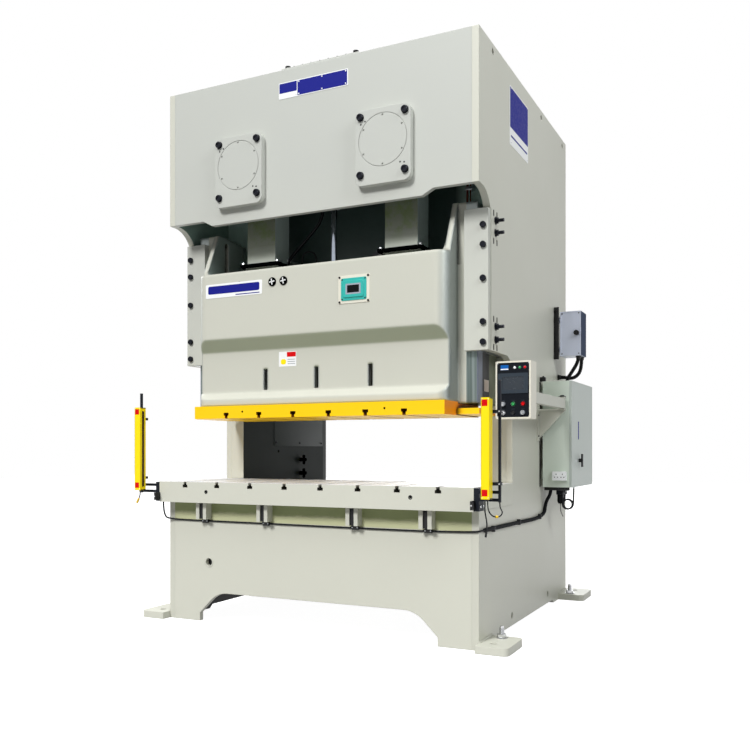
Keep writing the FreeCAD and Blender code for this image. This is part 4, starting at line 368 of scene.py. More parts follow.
def slide_look():
    """Painted shell with planed steel sides, the paint blending into them round the corners as
    painted shading; painted shade also gives a matte tone inside the left ear, darker
    undersides, a near black band low on the outer sides and black slots.
    """
    look = Look("slide_paint_and_steel")
    paint = mottled(look, scaled(PAINT, 0.96), 0.014)
    lines = look.noise(24, 4, (40, 40, 1))
    steel = look.blend(look.spread(lines, 0.35, 0.65), srgb(142, 149, 147),
                       srgb(166, 173, 171))
    # Painted shade: the inner face of the left ear takes its own matte grey-green, without
    # metal, for how it looks in shade.
    ear = look.maths("MULTIPLY", look.maths("GREATER_THAN", look.axis("Z"), SLIDE_SHELF),
                     look.maths("GREATER_THAN", look.axis("X", "Normal"), 0.6))
    inside = look.maths("MULTIPLY", ear, look.maths("LESS_THAN", look.axis("X"), 0.0))
    steel = look.blend(inside, steel, srgb(150, 164, 158))
    # Painted shade: below 2.15 m the outer sides are near black in the middle, standing in for
    # a dark cavity, blue-grey in front and olive behind, all without metal.
    outer = look.maths("GREATER_THAN", look.maths("ABSOLUTE", look.axis("X")), 1.19)
    low = look.maths("MULTIPLY", outer,
                     look.maths("LESS_THAN", look.axis("Z"), SIDE_OIL_AND_SHADE_TOP))
    low_side_shade = look.blend(look.spread(look.axis("Y"), -0.87, -0.85), srgb(120, 126, 140),
                      srgb(3, 3, 3))
    low_side_shade = look.blend(look.spread(look.axis("Y"), -0.72, -0.7), low_side_shade, srgb(100, 104, 86))
    wing = look.maths("MULTIPLY", look.maths("GREATER_THAN", look.axis("Y"), -1.15),
                      look.maths("GREATER_THAN",
                                 look.maths("ABSOLUTE", look.axis("X")), 1.112))
    streaks = look.spread(look.noise(18, 3, (3, 1, 0.05)), 0.35, 0.65)
    oiled = look.blend(streaks, srgb(92, 104, 100), srgb(126, 136, 134))
    beneath = look.maths("LESS_THAN", look.axis("Z"), SIDE_OIL_AND_SHADE_TOP)
    steel = look.blend(look.maths("MULTIPLY", wing, beneath), steel, oiled)
    steel = look.blend(low, steel, low_side_shade)
    bevel = look.node("ShaderNodeBevel", samples=8)
    bevel.inputs["Radius"].default_value = 0.03
    round_normal = look.node("ShaderNodeSeparateXYZ")
    look.join(bevel.outputs["Normal"], round_normal.inputs[0])
    # The sides are bare steel; the gradual blend across the rounded corners is painted shading.
    turn = look.spread(look.maths("ABSOLUTE", round_normal.outputs["X"]), 0.25, 0.95)
    bare = look.maths("MAXIMUM", turn, wing)
    # Painted shade: faces that turn downwards take a darker olive tint.
    under = look.spread(round_normal.outputs["Z"], -0.1, -0.5)
    paint = look.blend(under, paint, srgb(164, 170, 146))
    base = look.blend(bare, paint, steel)
    # Painted shade: near black deep in the slots above the shelf.
    slots = look.maths("MULTIPLY", look.recess_shade(0.05, 0.45, 0.8),
                       look.maths("GREATER_THAN", look.axis("Z"), SLIDE_SHELF))
    base = look.blend(slots, base, srgb(6, 8, 8))
    plain = look.maths("MAXIMUM", inside, low)
    metal = look.maths("MULTIPLY", bare, look.maths("SUBTRACT", 1.0, plain))
    look.set(Base_Color=base, Coat_Weight=0.03, Specular_IOR_Level=0.2,
             Metallic=look.maths("MULTIPLY", metal, 0.7))
    look.dull(0.38, 0.44, 1.6, 3)
    look.relief(look.peel(0.3), (lines, 0.0002, 0.1), corner=0.03)
    return look.material


def column_look():
    """Painted throat columns whose inner faces are dark, as painted shade."""
    look = Look("column_paint_with_inner_shade")
    paint = mottled(look, PAINT, 0.014)
    dark = mottled(look, srgb(36, 44, 42), 0.05)
    # Painted shade: faces that look along X are dark.
    look.set(Base_Color=look.blend(look.facing("X"), paint, dark), Specular_IOR_Level=0.1)
    look.dull(0.42, 0.5, 1.6, 3)
    look.relief(look.peel(0.3))
    return look.material


def table_look():
    """Painted table whose front face carries painted shade from the bolster above: olive from
    0.86 m up, a paler yellowish tint below 0.84 m.
    """
    look = Look("table_paint")
    paint = mottled(look, PAINT, 0.014)
    # Painted shade on the front face, its edge near 0.85 m broken up by noise.
    height = look.maths("ADD", look.axis("Z"), look.spread(look.noise(9, 3), 0, 1, -0.02, 0.02))
    stain_and_shade = look.blend(look.spread(height, *TABLE_SHADE), srgb(196, 198, 158),
                       srgb(150, 158, 114))
    off = look.maths("ABSOLUTE", look.maths("SUBTRACT", look.axis("Y"), FRONT))
    front = look.maths("MULTIPLY", look.facing("Y"), look.maths("LESS_THAN", off, 0.01))
    look.set(Base_Color=look.blend(front, paint, stain_and_shade), Specular_IOR_Level=0.14)
    look.dull(0.42, 0.5, 1.6, 3)
    look.relief(look.peel(0.3))
    return look.material


def rod_look():
    """Oiled casting: olive patches, a lighter foot, and flanks painted light, paler than the
    rest.
    """
    look = Look("oiled_casting")
    base = mottled(look, srgb(128, 134, 116), 0.05)
    olive = look.spread(look.noise(9, 5, rough=0.7), 0.46, 0.62, 0, 0.75)
    base = look.blend(olive, base, srgb(110, 126, 78))
    # Lighter below 2.84 m.
    foot = look.spread(look.axis("Z"), *ROD_FOOT, 1, 0)
    base = look.blend(foot, base, srgb(206, 212, 198))
    # Painted light: faces that look along X are pale, standing in for light on the flanks.
    base = look.blend(look.facing("X"), base, srgb(196, 212, 208))
    look.set(Base_Color=base, Specular_IOR_Level=0.5)
    look.dull(0.28, 0.4, 6, 3)
    look.relief((look.noise(180, 2), 0.0004, 0.15))
    return look.material


def crown_wall_look():
    """The wall inside the crown: dark grey-green in the middle, with painted light towards its
    two corners.
    """
    look = Look("crown_wall_paint")
    reach = look.spread(look.maths("ABSOLUTE", look.axis("X")), *CROWN_CORNER)
    oil = mottled(look, srgb(56, 74, 70), 0.16)
    # Painted light: a pale colour towards the corners, where the wall shows lit.
    corner_painted_light = mottled(look, srgb(196, 222, 212), 0.05)
    look.set(Base_Color=look.blend(reach, oil, corner_painted_light))
    look.dull(0.3, 0.55, 3, 4)
    look.relief((look.noise(180, 2), 0.0004, 0.3))
    return look.material


def bolster_look():
    """Painted sides under a ground top, with painted shade near black deep in the slots."""
    look = Look("bolster_ground_top")
    paint = mottled(look, scaled(PAINT, 1.04), 0.022)
    lines = look.noise(26, 5, (60, 1, 60))
    steel = look.blend(look.spread(lines, 0.35, 0.65), srgb(206, 207, 208),
                       srgb(246, 246, 246))
    stain_and_shade = look.spread(look.noise(4.5, 6, rough=0.7), 0.52, 0.72, 0, 0.18)
    steel = look.blend(stain_and_shade, steel, srgb(110, 108, 102))
    top = look.maths("GREATER_THAN", look.axis("Z"), BOLSTER_TOP)
    # Painted shade: near black deep in the slots and corners.
    base = look.blend(look.recess_shade(0.045, 0.5, 0.9), paint, scaled(PAINT, 0.02))
    look.set(Base_Color=look.blend(top, base, steel), Specular_IOR_Level=0.2,
             Metallic=look.maths("MULTIPLY", top, 0.45))
    look.dull(0.32, 0.5, 18, 5)
    look.relief((look.noise(230, 2), 0.0003, 0.3), (lines, 0.0003, 0.2))
    return look.material


LOOKS.update(bolster=bolster_look(), slide=slide_look(), column=column_look(),
             wall=crown_wall_look(), table=table_look(), rod=rod_look())

NODE_LOOKS = {
    "side": "side_plate_left side_plate_right",
    "table": "bed_table",
    "paint": "bed_front_plate bed_rear_plate crown_front_plate crown_rear_plate "
             "crown_top_plate foot_plates gib_plates crank_covers top_hatch motor_shelf "
             "balance_cylinder pendant_arm pendant_bracket",
    "wall": "crown_web_plate",
    "column": "throat_columns",
    "slide": "slide_body",
    "yellow": "slide_face_plate",
    "bolster": "bolster_plate",
    "steel": "guide_rails",
    "rod": "connecting_rod_left connecting_rod_right",
    "gear": "crankshaft_left crankshaft_right main_gear_left main_gear_right drive_shaft",
    "bright": "levelling_jacks key_switch",
    "chrome": "balance_rod",
    "iron": "flywheel motor_pulley shaft_bearings",
    "bolt": "frame_bolts",
    "motor": "drive_motor",
    "rubber": "drive_belts",
    "teal": "counter_unit",
    "zinc": "cabinet_panel",
    "cabinet": "cabinet_shell",
    "door": "cabinet_door",
    "black": "cabinet_handle switch_knob inch_button",
    "box": "switch_box",
    "grey": "speed_knob mode_knob",
    "green": "start_button",
    "red": "stop_button",
    "cream": "pendant_box",
    "curtain": "light_curtains",
    "post": "curtain_posts air_unit",
    "sheath": "lead_left lead_tail lead_loop bed_cables",
    "conduit": "conduits",
    "plug": "lead_plugs",
}
for look_name, members in NODE_LOOKS.items():
    for member in members.split():
        materials = frame["nodes"][member].data.materials
        materials.clear()
        materials.append(LOOKS[look_name])


# ---------------------------------------------------------------- mesh tools

def grid(*axes):
    """Places at every mix of the given x, y and z; the last changes fastest."""
    values = [axis if isinstance(axis, (tuple, list)) else (axis,) for axis in axes]
    return [Vector(place) for place in product(*values)]


def centre_of(node):
    """The middle of a CAD node's box."""
    low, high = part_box(node)
    return (low + high) / 2


def frame_at(origin, direction, turn=0.0):
    """A matrix whose local Z points along direction from origin."""
    facing = Vector(direction).normalized().to_track_quat("Z", "Y").to_matrix().to_4x4()
    return Matrix.Translation(origin) @ facing @ Matrix.Rotation(turn, 4, "Z")


def along_x(place):
    """A matrix at place whose local Z points to the operator's right."""
    return Matrix.Translation(place) @ Matrix.Rotation(math.pi / 2, 4, "Y")


def around(base, radius, count, start=0.0, height=0.0):
    """Matrices at even angles on a circle round the base's local Z."""
    angles = [start + 2 * math.pi * index / count for index in range(count)]
    return [base @ Matrix.Translation((radius * math.cos(angle), radius * math.sin(angle),
                                       height)) for angle in angles]


def skin(mesh, rings, look=0, caps=True, loop=False):
    """Quads between each ring of points and the next; caps close the two ends."""
    made = [[mesh.verts.new(point) for point in ring] for ring in rings]
    faces = []
    for lower, upper in zip(made, made[1:] + made[:loop]):
        for index in range(len(lower)):
            after = (index + 1) % len(lower)
            faces.append((lower[index], lower[after], upper[after], upper[index]))
    if caps:
        faces += [list(reversed(made[0])), made[-1]]
    for corners in faces:
        mesh.faces.new(corners).material_index = look


def add_block(mesh, low, high, edge=0.0, look=0):
    """A block with rounded edges."""
    low, high = Vector(low), Vector(high)
    made = bmesh.ops.create_cube(mesh, size=1.0)["verts"]
    bmesh.ops.scale(mesh, vec=high - low, verts=made)
    bmesh.ops.translate(mesh, vec=(low + high) / 2, verts=made)
    if edge:
        borders = dict.fromkeys(border for corner in made for border in corner.link_edges)
        made = bmesh.ops.bevel(mesh, geom=list(borders), offset=edge, segments=2,
                               affect="EDGES", profile=0.5)["verts"]
    for corner in made:
        for face in corner.link_faces:
            face.material_index = look


def add_turned(mesh, profile, matrix, sides=24, look=0, close=True):
    """Profile points (radius, height) turned round local Z."""
    angles = [2 * math.pi * index / sides for index in range(sides)]
    skin(mesh, [[matrix @ Vector((radius * math.cos(angle), radius * math.sin(angle), height))
                 for angle in angles] for radius, height in profile], look, close)


def band(inner, outer, low, high):
    """The profile of a washer or ring, to be turned without caps."""
    return [(inner, low), (outer, low), (outer, high), (inner, high)]


def add_prism(mesh, outline, depth, matrix, look=0, edge=0.0):
    """An outline in local XY, raised by depth along local Z, its top edge bevelled."""
    corners = [Vector((u, v, 0)) for u, v in outline]
    centre = sum(corners, Vector()) / len(corners)
    rings = []
    for height, inset in [(0.0, 0.0), (depth - edge, 0.0)] + [(depth, edge)] * bool(edge):
        ring = []
        for corner in corners:
            reach = (corner - centre).length
            flat = centre + (corner - centre) * ((reach - inset) / reach)
            ring.append(matrix @ Vector((flat.x, flat.y, height)))
        rings.append(ring)
    skin(mesh, rings, look)


def rounded(width, height, radius, steps=5):
    """Outline of a rectangle with round corners, centred."""
    points = []
    for corner, (right, up) in enumerate(((1, 1), (-1, 1), (-1, -1), (1, -1))):
        for step in range(steps + 1):
            angle = math.pi / 2 * (corner + step / steps)
            points.append((right * (width / 2 - radius) + radius * math.cos(angle),
                           up * (height / 2 - radius) + radius * math.sin(angle)))
    return points


HEX_TURN, SOCKET_TURN = 0.3, 0.2        # how far the bolts' heads are turned


def add_hex_bolt(mesh, place, direction, radius=0.012, head=0.009, washer=True, look=0):
    """A hexagon head with a chamfered top on a round washer."""
    matrix = frame_at(place, direction, HEX_TURN)
    base = 0.003 if washer else 0.0
    if washer:
        add_turned(mesh, [(radius * 1.25, 0), (radius * 1.25, 0.002),
                          (radius * 1.18, 0.003)], matrix, 24, look)
    add_turned(mesh, [(radius, base), (radius, base + head * 0.8),
                      (radius * 0.86, base + head)], matrix, 6, look)


def add_socket_bolt(mesh, place, direction, radius=0.01, head=0.01, look=0):
    """A round head with a hexagon socket."""
    add_turned(mesh, [(radius, 0), (radius, head * 0.85), (radius * 0.9, head),
                      (radius * 0.55, head), (radius * 0.5, head * 0.35)],
               frame_at(place, direction, SOCKET_TURN), 18, look)


def into_scene(name, data):
    """A new object that holds the data and stands in the scene."""
    made = bpy.data.objects.new(name, data)
    bpy.context.scene.collection.objects.link(made)
    return made


def piece(name, mesh, looks, body="frame", angle=35, replaces=(), slot=None):
    """Makes the piece from a bmesh, smooth where faces meet flatter than angle."""
    bmesh.ops.recalc_face_normals(mesh, faces=mesh.faces)
    data = bpy.data.meshes.new(name)
    mesh.to_mesh(data)
    mesh.free()
    for look_name in looks:
        data.materials.append(LOOKS[look_name])
    for face in data.polygons:
        face.use_smooth = True
    data.set_sharp_from_angle(angle=math.radians(angle))
    made = into_scene(name, data)
    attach(made, body)
    if replaces:
        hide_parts(*replaces)
    return made


FACES = {"front": (RIGHT, UP), "rear": (-RIGHT, UP), "right": (BACK, UP),
         "left": (-BACK, UP), "top": (RIGHT, BACK)}


def on_face(face, place):
    """Local X across the face, local Y up it and local Z out of it."""
    across, up = FACES[face]
    spin = Matrix((across, up, across.cross(up))).transposed().to_4x4()
    return Matrix.Translation(place) @ spin


def spots(face, base, columns, rows):
    """Places on a face at every mix of columns and rows; the rows change fastest."""
    across, up = FACES[face]
    return [base + across * u + up * v for u, v in product(columns, rows)]


def add_disc(mesh, face, place, profile, sides=24, look=0, close=True):
    """A turned profile that stands on a face."""
    add_turned(mesh, profile, on_face(face, place), sides, look, close)


def add_plate(mesh, face, place, size, thick=0.002, look=0, corner=0.004, edge=0.0005):
    """A plate with round corners and a bevelled rim that stands on a face."""
    add_prism(mesh, rounded(*size, corner), thick, on_face(face, place), look, edge)


def add_plates(mesh, face, base, *rows):
    """Plates given as (across, up, width, height, thick, look, corner, edge)."""
    across, up = FACES[face]
    for u, v, width, height, *rest in rows:
        add_plate(mesh, face, base + across * u + up * v, (width, height), *rest)


def add_dome(mesh, face, place, radius, height, look=0):
    """A low round head, such as a rivet's."""
    add_disc(mesh, face, place, [(radius * math.cos(angle), height * math.sin(angle))
                                 for angle in (0, 0.35, 0.7, 1.05, 1.4)], 16, look)


def add_ring(mesh, outer, inner, depth, matrix, look=0):
    """A flat frame between two outlines with as many points each."""
    skin(mesh, [[matrix @ Vector((u, v, height)) for u, v in outline]
                for outline, height in ((inner, 0), (outer, 0), (outer, depth),
                                        (inner, depth))], look, False, True)


def add_rim(mesh, face, place, outer, inner, depth, look=0):
    """A frame between two round-cornered rectangles (width, height, radius)."""
    add_ring(mesh, rounded(*outer), rounded(*inner), depth, on_face(face, place), look)


def seam(mesh, start, end, reach, out_first, out_second, pitch=0.009, ripple=0.16, beat=2.3):
    """A weld bead along an inner corner between two faces."""
    start, end = Vector(start), Vector(end)
    first, second = Vector(out_first), Vector(out_second)
    count = max(2, int((end - start).length / pitch))
    rings = []
    for index in range(count + 1):
        base = start.lerp(end, index / count)
        size = reach * (1 + ripple * math.sin(index * beat))
        rings.append([base + first * a * size + second * b * size
                      for a, b in ((0, 0), (1, 0), (0.62, 0.62), (0, 1))])
    skin(mesh, rings)


# ---------------------------------------------------------------- cords

def spline(name, points, radius):
    """One smooth NURBS line through the route's points."""
    data = bpy.data.curves.new(name, "CURVE")
    data.dimensions = "3D"
    line = data.splines.new("NURBS")
    line.points.add(len(points) - 1)
    for point, place in zip(line.points, points):
        point.co = (*place, 1)
    line.order_u = 3
    line.use_endpoint_u = True
    line.resolution_u = 10
    data.bevel_depth = radius
    data.bevel_resolution = 5
    data.use_fill_caps = True
    return into_scene(name, data)


def soft_line(name, points, radius, look):
    """A round line on the frame: a cord, a cable or a pipe."""
    made = spline(name, points, radius)
    made.data.materials.append(LOOKS[look])
    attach(made, "frame")
    return made


def line_points(points):
    """Points along the route's NURBS line, as Blender evaluates it."""
    bare = spline("bare_line", points, 0)
    bare.data.use_fill_caps = False
    flat = bpy.data.meshes.new_from_object(bare)
    found = [corner.co.copy() for corner in flat.vertices]
    bpy.data.objects.remove(bare)
    return found


def walk(points, pitch):
    """Places every pitch metres along the points, with their headings."""
    places, travelled, due = [], 0.0, 0.0
    for first, second in zip(points, points[1:]):
        run = (second - first).length
        while due <= travelled + run and run > 0:
            places.append((first.lerp(second, (due - travelled) / run),
                           (second - first).normalized()))
            due += pitch
        travelled += run
    return places


HOSE_SIDES = 20
RIB_DEPTHS = (0.0, 0.35, 1.0, 0.35)     # shares of a rib's depth along one pitch


def ribbed_hose(name, route, radius, pitch, depth, look):
    """A tube with rounded ribs that follows the route's NURBS line."""
    mesh = bmesh.new()
    angles = [2 * math.pi * step / HOSE_SIDES for step in range(HOSE_SIDES)]
    rings = []
    across = None
    stations = walk(line_points(route), pitch / len(RIB_DEPTHS))
    for index, (place, heading) in enumerate(stations):
        if across is None:
            across = heading.orthogonal().normalized()
        across = (across - heading * across.dot(heading)).normalized()
        other = heading.cross(across)
        reach = radius - depth * RIB_DEPTHS[index % len(RIB_DEPTHS)]
        rings.append([place + (across * math.cos(angle) + other * math.sin(angle)) * reach
                      for angle in angles])
    skin(mesh, rings)
    return piece(name, mesh, [look], angle=60)


LEAD_LEFT = [(-1.418, -1.43, 1.022), (-1.418, -1.43, 0.998), (-1.424, -1.427, 0.976),
             (-1.437, -1.423, 0.958)]
LEAD_TAIL = [(1.402, -1.418, 1.022), (1.402, -1.418, 0.985), (1.397, -1.405, 0.942),
             (1.401, -1.389, 0.896), (1.403, -1.375, 0.85), (1.395, -1.368, 0.808)]
LEAD_LOOP = [(1.424, -1.43, 1.022), (1.424, -1.43, 0.978), (1.43, -1.421, 0.938),
             (1.452, -1.402, 0.908), (1.49, -1.374, 0.908), (1.502, -1.356, 0.938),
             (1.478, -1.347, 0.962), (1.478, -1.347, 0.998)]
FRONT_CABLE = [(-1.312, -1.282, 0.935), (-1.312, -1.282, 0.812), (-1.272, -1.229, 0.786),
               (-0.94, -1.229, 0.784), (-0.38, -1.229, 0.783), (0.38, -1.229, 0.78),
               (0.94, -1.229, 0.78), (1.25, -1.229, 0.788), (1.309, -1.236, 0.7956),
               (1.309, -1.147, 0.795)]
SIDE_SLEEVE = [(1.309, -1.147, 0.795), (1.309, -0.522, 0.791), (1.309, 0.398, 0.775),
               (1.31, 0.44, 0.9), (1.347, 0.475, 0.968), (1.347, 0.475, 1.03)]
CONDUITS = {
    "conduit_front": [(1.5, 0.828, 2.157), (1.5, 0.828, 2.11), (1.438, 0.828, 2.012),
                      (1.398, 0.828, 1.955), (1.398, 0.828, 1.902)],
    "conduit_rear": [(1.505, 0.928, 2.157), (1.505, 0.928, 2.085), (1.485, 0.928, 2.008),
                     (1.425, 0.928, 1.968), (1.355, 0.928, 1.985), (1.295, 0.928, 1.985)]}


def cord_end(name, ends, place, profile, look, close=True, **marks):
    """An end piece turned round the line between two points of a lead."""
    first, second = (Vector(end) for end in ends)
    mesh = bmesh.new()
    add_turned(mesh, profile, frame_at(first.lerp(second, place), second - first), 20,
               close=close)
    return piece(name, mesh, [look], **marks)


pigtail = cord_end(
    "curtain_pigtail_left", LEAD_LEFT[-2:], 1,
    [(0.005, -0.004), (0.0062, 0.004), (0.009, 0.01), (0.009, 0.018), (0.0078, 0.02),
     (0.0078, 0.024), (0.009, 0.026), (0.009, 0.04), (0.008, 0.046), (0.005, 0.046)],
    "plug", replaces=("lead_plugs",), slot="plug_yellow")
coupling = cord_end(
    "loop_coupling", LEAD_LOOP[3:5], 0.5,
    [(0.0044, -0.008), (0.008, -0.008), (0.009, -0.0056), (0.009, -0.001), (0.0082, 0),
     (0.009, 0.001), (0.009, 0.0056), (0.008, 0.008), (0.0044, 0.008)],
    "plug", False, slot="plug_yellow")
socket = cord_end(
    "tail_socket", LEAD_TAIL[-2:], 1,
    [(0.005, -0.004), (0.0062, 0.0), (0.0075, 0.004), (0.0075, 0.014), (0.0066, 0.016),
     (0.0066, 0.019), (0.0075, 0.021), (0.0075, 0.034), (0.0068, 0.036)], "black")
left = soft_line("curtain_lead_left", LEAD_LEFT, 0.004, "sheath")
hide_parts("lead_left")
tail = soft_line("curtain_lead_tail", LEAD_TAIL, 0.0045, "sheath")
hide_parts("lead_tail")
loop = soft_line("curtain_lead_loop", LEAD_LOOP, 0.004, "sheath")
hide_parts("lead_loop")


# ---------------------------------------------------------------- crown and labels

def sign(name, looks, body, face, centre, plate, fields=(), rivets=()):
    """A plate with raised fields and rivets, where the photograph has lettering."""
    mesh = bmesh.new()
    centre = Vector(centre)
    add_plates(mesh, face, centre, (0, 0, *plate))
    across, up = FACES[face]
    proud = centre + across.cross(up) * plate[2]
    add_plates(mesh, face, proud, *fields)
    for columns, rows, *sizes in rivets:
        for place in spots(face, proud, columns, rows):
            add_dome(mesh, face, place, *sizes)
    piece(name, mesh, looks, body)


def signs():
    """The name plate, the side's and the slide's labels, and a small tag."""
    sign("name_plate", ["label", "blue", "bright"], "frame", "front",
         (0.0215, FRONT, 4.004), (0.583, 0.12, 0.002, 0, 0.006),
         [(-0.2105, 0.018, 0.15, 0.072, 0.0008, 1, 0.003, 0.0002),
          (0.0775, 0, 0.414, 0.108, 0.0008, 1, 0.003, 0.0002)],
         [((-0.118, 0.0775, 0.273), (-0.045, 0.045), 0.006, 0.004, 0),
          ((-0.279, -0.142), (-0.045,), 0.0045, 0.003, 2)])
    sign("side_label", ["label", "blue", "bright"], "frame", "right",
         (SIDE, -0.29, 3.812), (0.49, 0.435, 0.002, 0, 0.008),
         [(0, 0.06, 0.472, 0.298, 0.0006, 1, 0.004, 0.0002),
          (0, -0.15, 0.43, 0.014, 0.0006, 1, 0.002, 0.0002)],
         [((-0.215, 0.215), (-0.2, 0.2), 0.005, 0.003, 2)])
    sign("slide_label", ["label", "blue"], "slide", "front",
         (-0.695, SLIDE_FRONT, 2.571), (0.524, 0.108, 0.002, 0, 0.01),
         [(0, 0.008, 0.478, 0.062, 0.0006, 1, 0.014, 0.0002),
          (0.13, -0.04, 0.22, 0.007, 0.0006, 1, 0.002, 0.0002)])
    sign("slide_small_plate", ["label", "red", "curtain", "grey"], "slide", "front",
         (-0.2495, SLIDE_LOWER_FRONT, 2.0215), (0.153, 0.112, 0.0015, 0, 0.004),
         [(0.034, 0.034, 0.078, 0.036, 0.0004, 1, 0.002, 0.0001),
          (-0.036, -0.02, 0.046, 0.04, 0.0004, 2, 0.016, 0.0001)]
         + [(0.034, height, 0.066, 0.005, 0.0003, 3, 0.001, 0.0001)
            for height in (-0.004, -0.02, -0.036)])
    sign("slide_side_tag", ["tag"], "slide", "right", (1.196, -0.772, 1.795),
         (0.098, 0.085, 0.0012, 0, 0.003))


def cap_head(mesh, place, radius=0.0245, height=0.02):
    """A cap head with a hexagon socket, over a bolt of the frame."""
    add_disc(mesh, "front", place, [(radius, 0), (radius, height * 0.8),
                                    (radius * 0.86, height), (radius * 0.52, height),
                                    (radius * 0.46, height * 0.55)], 20)


def cover_details():
    """Washers under the cover bolts and a pair of marks beside them."""
    mesh = bmesh.new()
    for side in (-1, 1):
        cover = Vector((side * POINT, FRONT - 0.047, 3.467))
        for place in spots("front", cover, (-0.1715, 0.1715), (-0.204, 0.204)):
            add_disc(mesh, "front", place, band(0.016, 0.0275, 0, 0.0026), 28, 0, False)
            cap_head(mesh, place - BACK * 0.0026)
        for across, up in ((-0.135, 0.172), (0.135, -0.15), (-0.168, 0.155),
                           (0.165, -0.155)):
            add_disc(mesh, "front", cover + RIGHT * across + UP * up,
                     [(0.0062, 0), (0.0062, 0.0006), (0.003, 0.0008)], 14, 1)
    piece("cover_washers", mesh, ["bolt", "black"])


def gib_heads():
    """Cap heads on the bolts of both gib plates."""
    mesh = bmesh.new()
    for place in grid((-1.253, 1.253), -1.012, (2.887, 2.751, 2.519, 2.219, 2.08)):
        cap_head(mesh, place, 0.022, 0.0195)
    piece("gib_bolt_heads", mesh, ["bolt"])


def crown_top():
    """Plugs in the crown's corners, and the hatch's screws and knobs."""
    mesh = bmesh.new()
    for place in grid((-1.12, 1.12), (-1.05, 1.05), CROWN_TOP):
        add_disc(mesh, "top", place, [(0.03, 0), (0.03, 0.006), (0.019, 0.009)])
    piece("crown_plugs", mesh, ["bolt"])
    low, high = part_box("top_hatch")
    step = (high.x - low.x - 0.06) / 8
    mesh = bmesh.new()
    for place in grid([low.x + 0.03 + step * index for index in range(9)],
                      (low.y + 0.012, high.y - 0.012), CROWN_TOP + 0.012):
        add_socket_bolt(mesh, place, UP, 0.007, 0.006)
    piece("hatch_screws", mesh, ["bolt"])
    mesh = bmesh.new()
    for place in grid((-0.215, 0.355), (-1.181, -0.617), high.z):
        add_disc(mesh, "top", place, [(0.009, -0.03), (0.009, -0.014), (0.02, -0.012),
                                      (0.022, -0.009), (0.022, -0.002), (0.018, 0.0)], 8)
    piece("hatch_knob_caps", mesh, ["black"])


def side_slots():
    """Paired slots above and below each group of gib adjusters, as flat black plates of painted
    shade, with rings round the adjusters.
    """
    mesh = bmesh.new()
    for face, x in (("right", SIDE), ("left", -SIDE)):
        for height, y in product((2.988, 2.793, 2.248, 2.053), (-0.91, -0.837)):
            add_plate(mesh, face, (x, y, height), (0.017, 0.044), 0.0012, 0, 0.008, 0.0004)
        for height in (2.943, 2.857, 2.199, 2.108):
            add_disc(mesh, face, (x, -0.868, height), band(0.013, 0.028, 0, 0.004), 24, 1,
                     False)
    piece("gib_adjuster_marks", mesh, ["void", "bolt"])


# ---------------------------------------------------------------- slide

def slide_details():
    """Two dials with slotted heads, a plug and an oval cap on the slide's front."""
    mesh = bmesh.new()
    turned = 0.15
    for x in (-0.341, -0.242):
        place = on_face("front", (x, SLIDE_FRONT, 2.599))
        add_turned(mesh, [(0.033, 0), (0.033, 0.006), (0.03, 0.009), (0.012, 0.011)],
                   place, 32)
        for turn in (turned, turned + math.pi / 2):
            cross = place @ Matrix.Translation((0, 0, 0.0088)) @ Matrix.Rotation(turn, 4, "Z")
            add_prism(mesh, rounded(0.047, 0.009, 0.003), 0.003, cross, 1, 0.0008)
        for spot in around(place, 0.021, 4, turned + math.pi / 4, 0.009):
            add_turned(mesh, [(0.0032, 0), (0.0032, 0.0022), (0.0016, 0.003)], spot, 10)
    piece("slide_dials", mesh, ["void", "label"], "slide")
    mesh = bmesh.new()
    add_disc(mesh, "front", (-0.641, SLIDE_FRONT, 2.62),
             [(0.008, 0), (0.008, 0.001), (0.004, 0.0014)], 14)
    add_plate(mesh, "front", (1.104, -0.9615, 2.79), (0.012, 0.028), 0.001, 0, 0.0058, 0)
    piece("slide_plugs", mesh, ["black"], "slide")


def counter():
    """Slide-height counter: a cream plate, a teal housing and its window."""
    low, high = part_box("counter_unit")
    centre = Vector(((low.x + high.x) / 2, high.y, (low.z + high.z) / 2))
    width, height = high.x - low.x, high.z - low.z
    plate, housing, window = (centre - BACK * out for out in (0.004, 0.008, 0.0155))
    mesh = bmesh.new()
    add_plate(mesh, "front", centre, (width, height), 0.004, 0, 0.008, 0.001)
    add_plate(mesh, "front", plate, (0.204, 0.16), 0.004, 1, 0.01, 0.001)
    add_plate(mesh, "front", housing, (0.166, 0.122), 0.0075, 1, 0.008, 0.0055)
    add_rim(mesh, "front", window, (0.122, 0.076, 0.006), (0.096, 0.054, 0.003), 0.0004, 2)
    add_plate(mesh, "front", window, (0.096, 0.054), 0.0002, 3, 0.003, 0.0001)
    for u, v in product((-1, 1), (-1, 1)):
        add_socket_bolt(mesh, plate + RIGHT * u * (width / 2 - 0.011)
                        + UP * v * (height / 2 - 0.011), FORWARD, 0.008, 0.005, 4)
        add_dome(mesh, "front", housing + RIGHT * u * 0.092 + UP * v * 0.07, 0.006, 0.003, 4)
    piece("counter_face", mesh, ["cream", "teal", "chrome", "glass", "black"],
          "slide", replaces=("counter_unit",), slot="counter_teal")


def rod_flanges():
    """Clamp plates with bright bolts under the connecting rods' blocks."""
    for side, label in ((-1, "left"), (1, "right")):
        mesh = bmesh.new()
        flange = Vector((side * POINT, -0.8505, 2.786))
        add_rim(mesh, "top", flange, (0.356, 0.29, 0.012), (0.3, 0.2035, 0.002), 0.022)
        for place in spots("top", flange + UP * 0.022, (-0.159, 0.159), (-0.118, 0.118)):
            add_disc(mesh, "top", place, [(0.017, 0), (0.017, 0.003)], 24, 1)
            add_hex_bolt(mesh, place + UP * 0.003, UP, 0.013, 0.013, False, 1)
        piece("rod_clamp_" + label, mesh, ["void", "bright"], "rod_" + label)


# ---------------------------------------------------------------- inside the crown

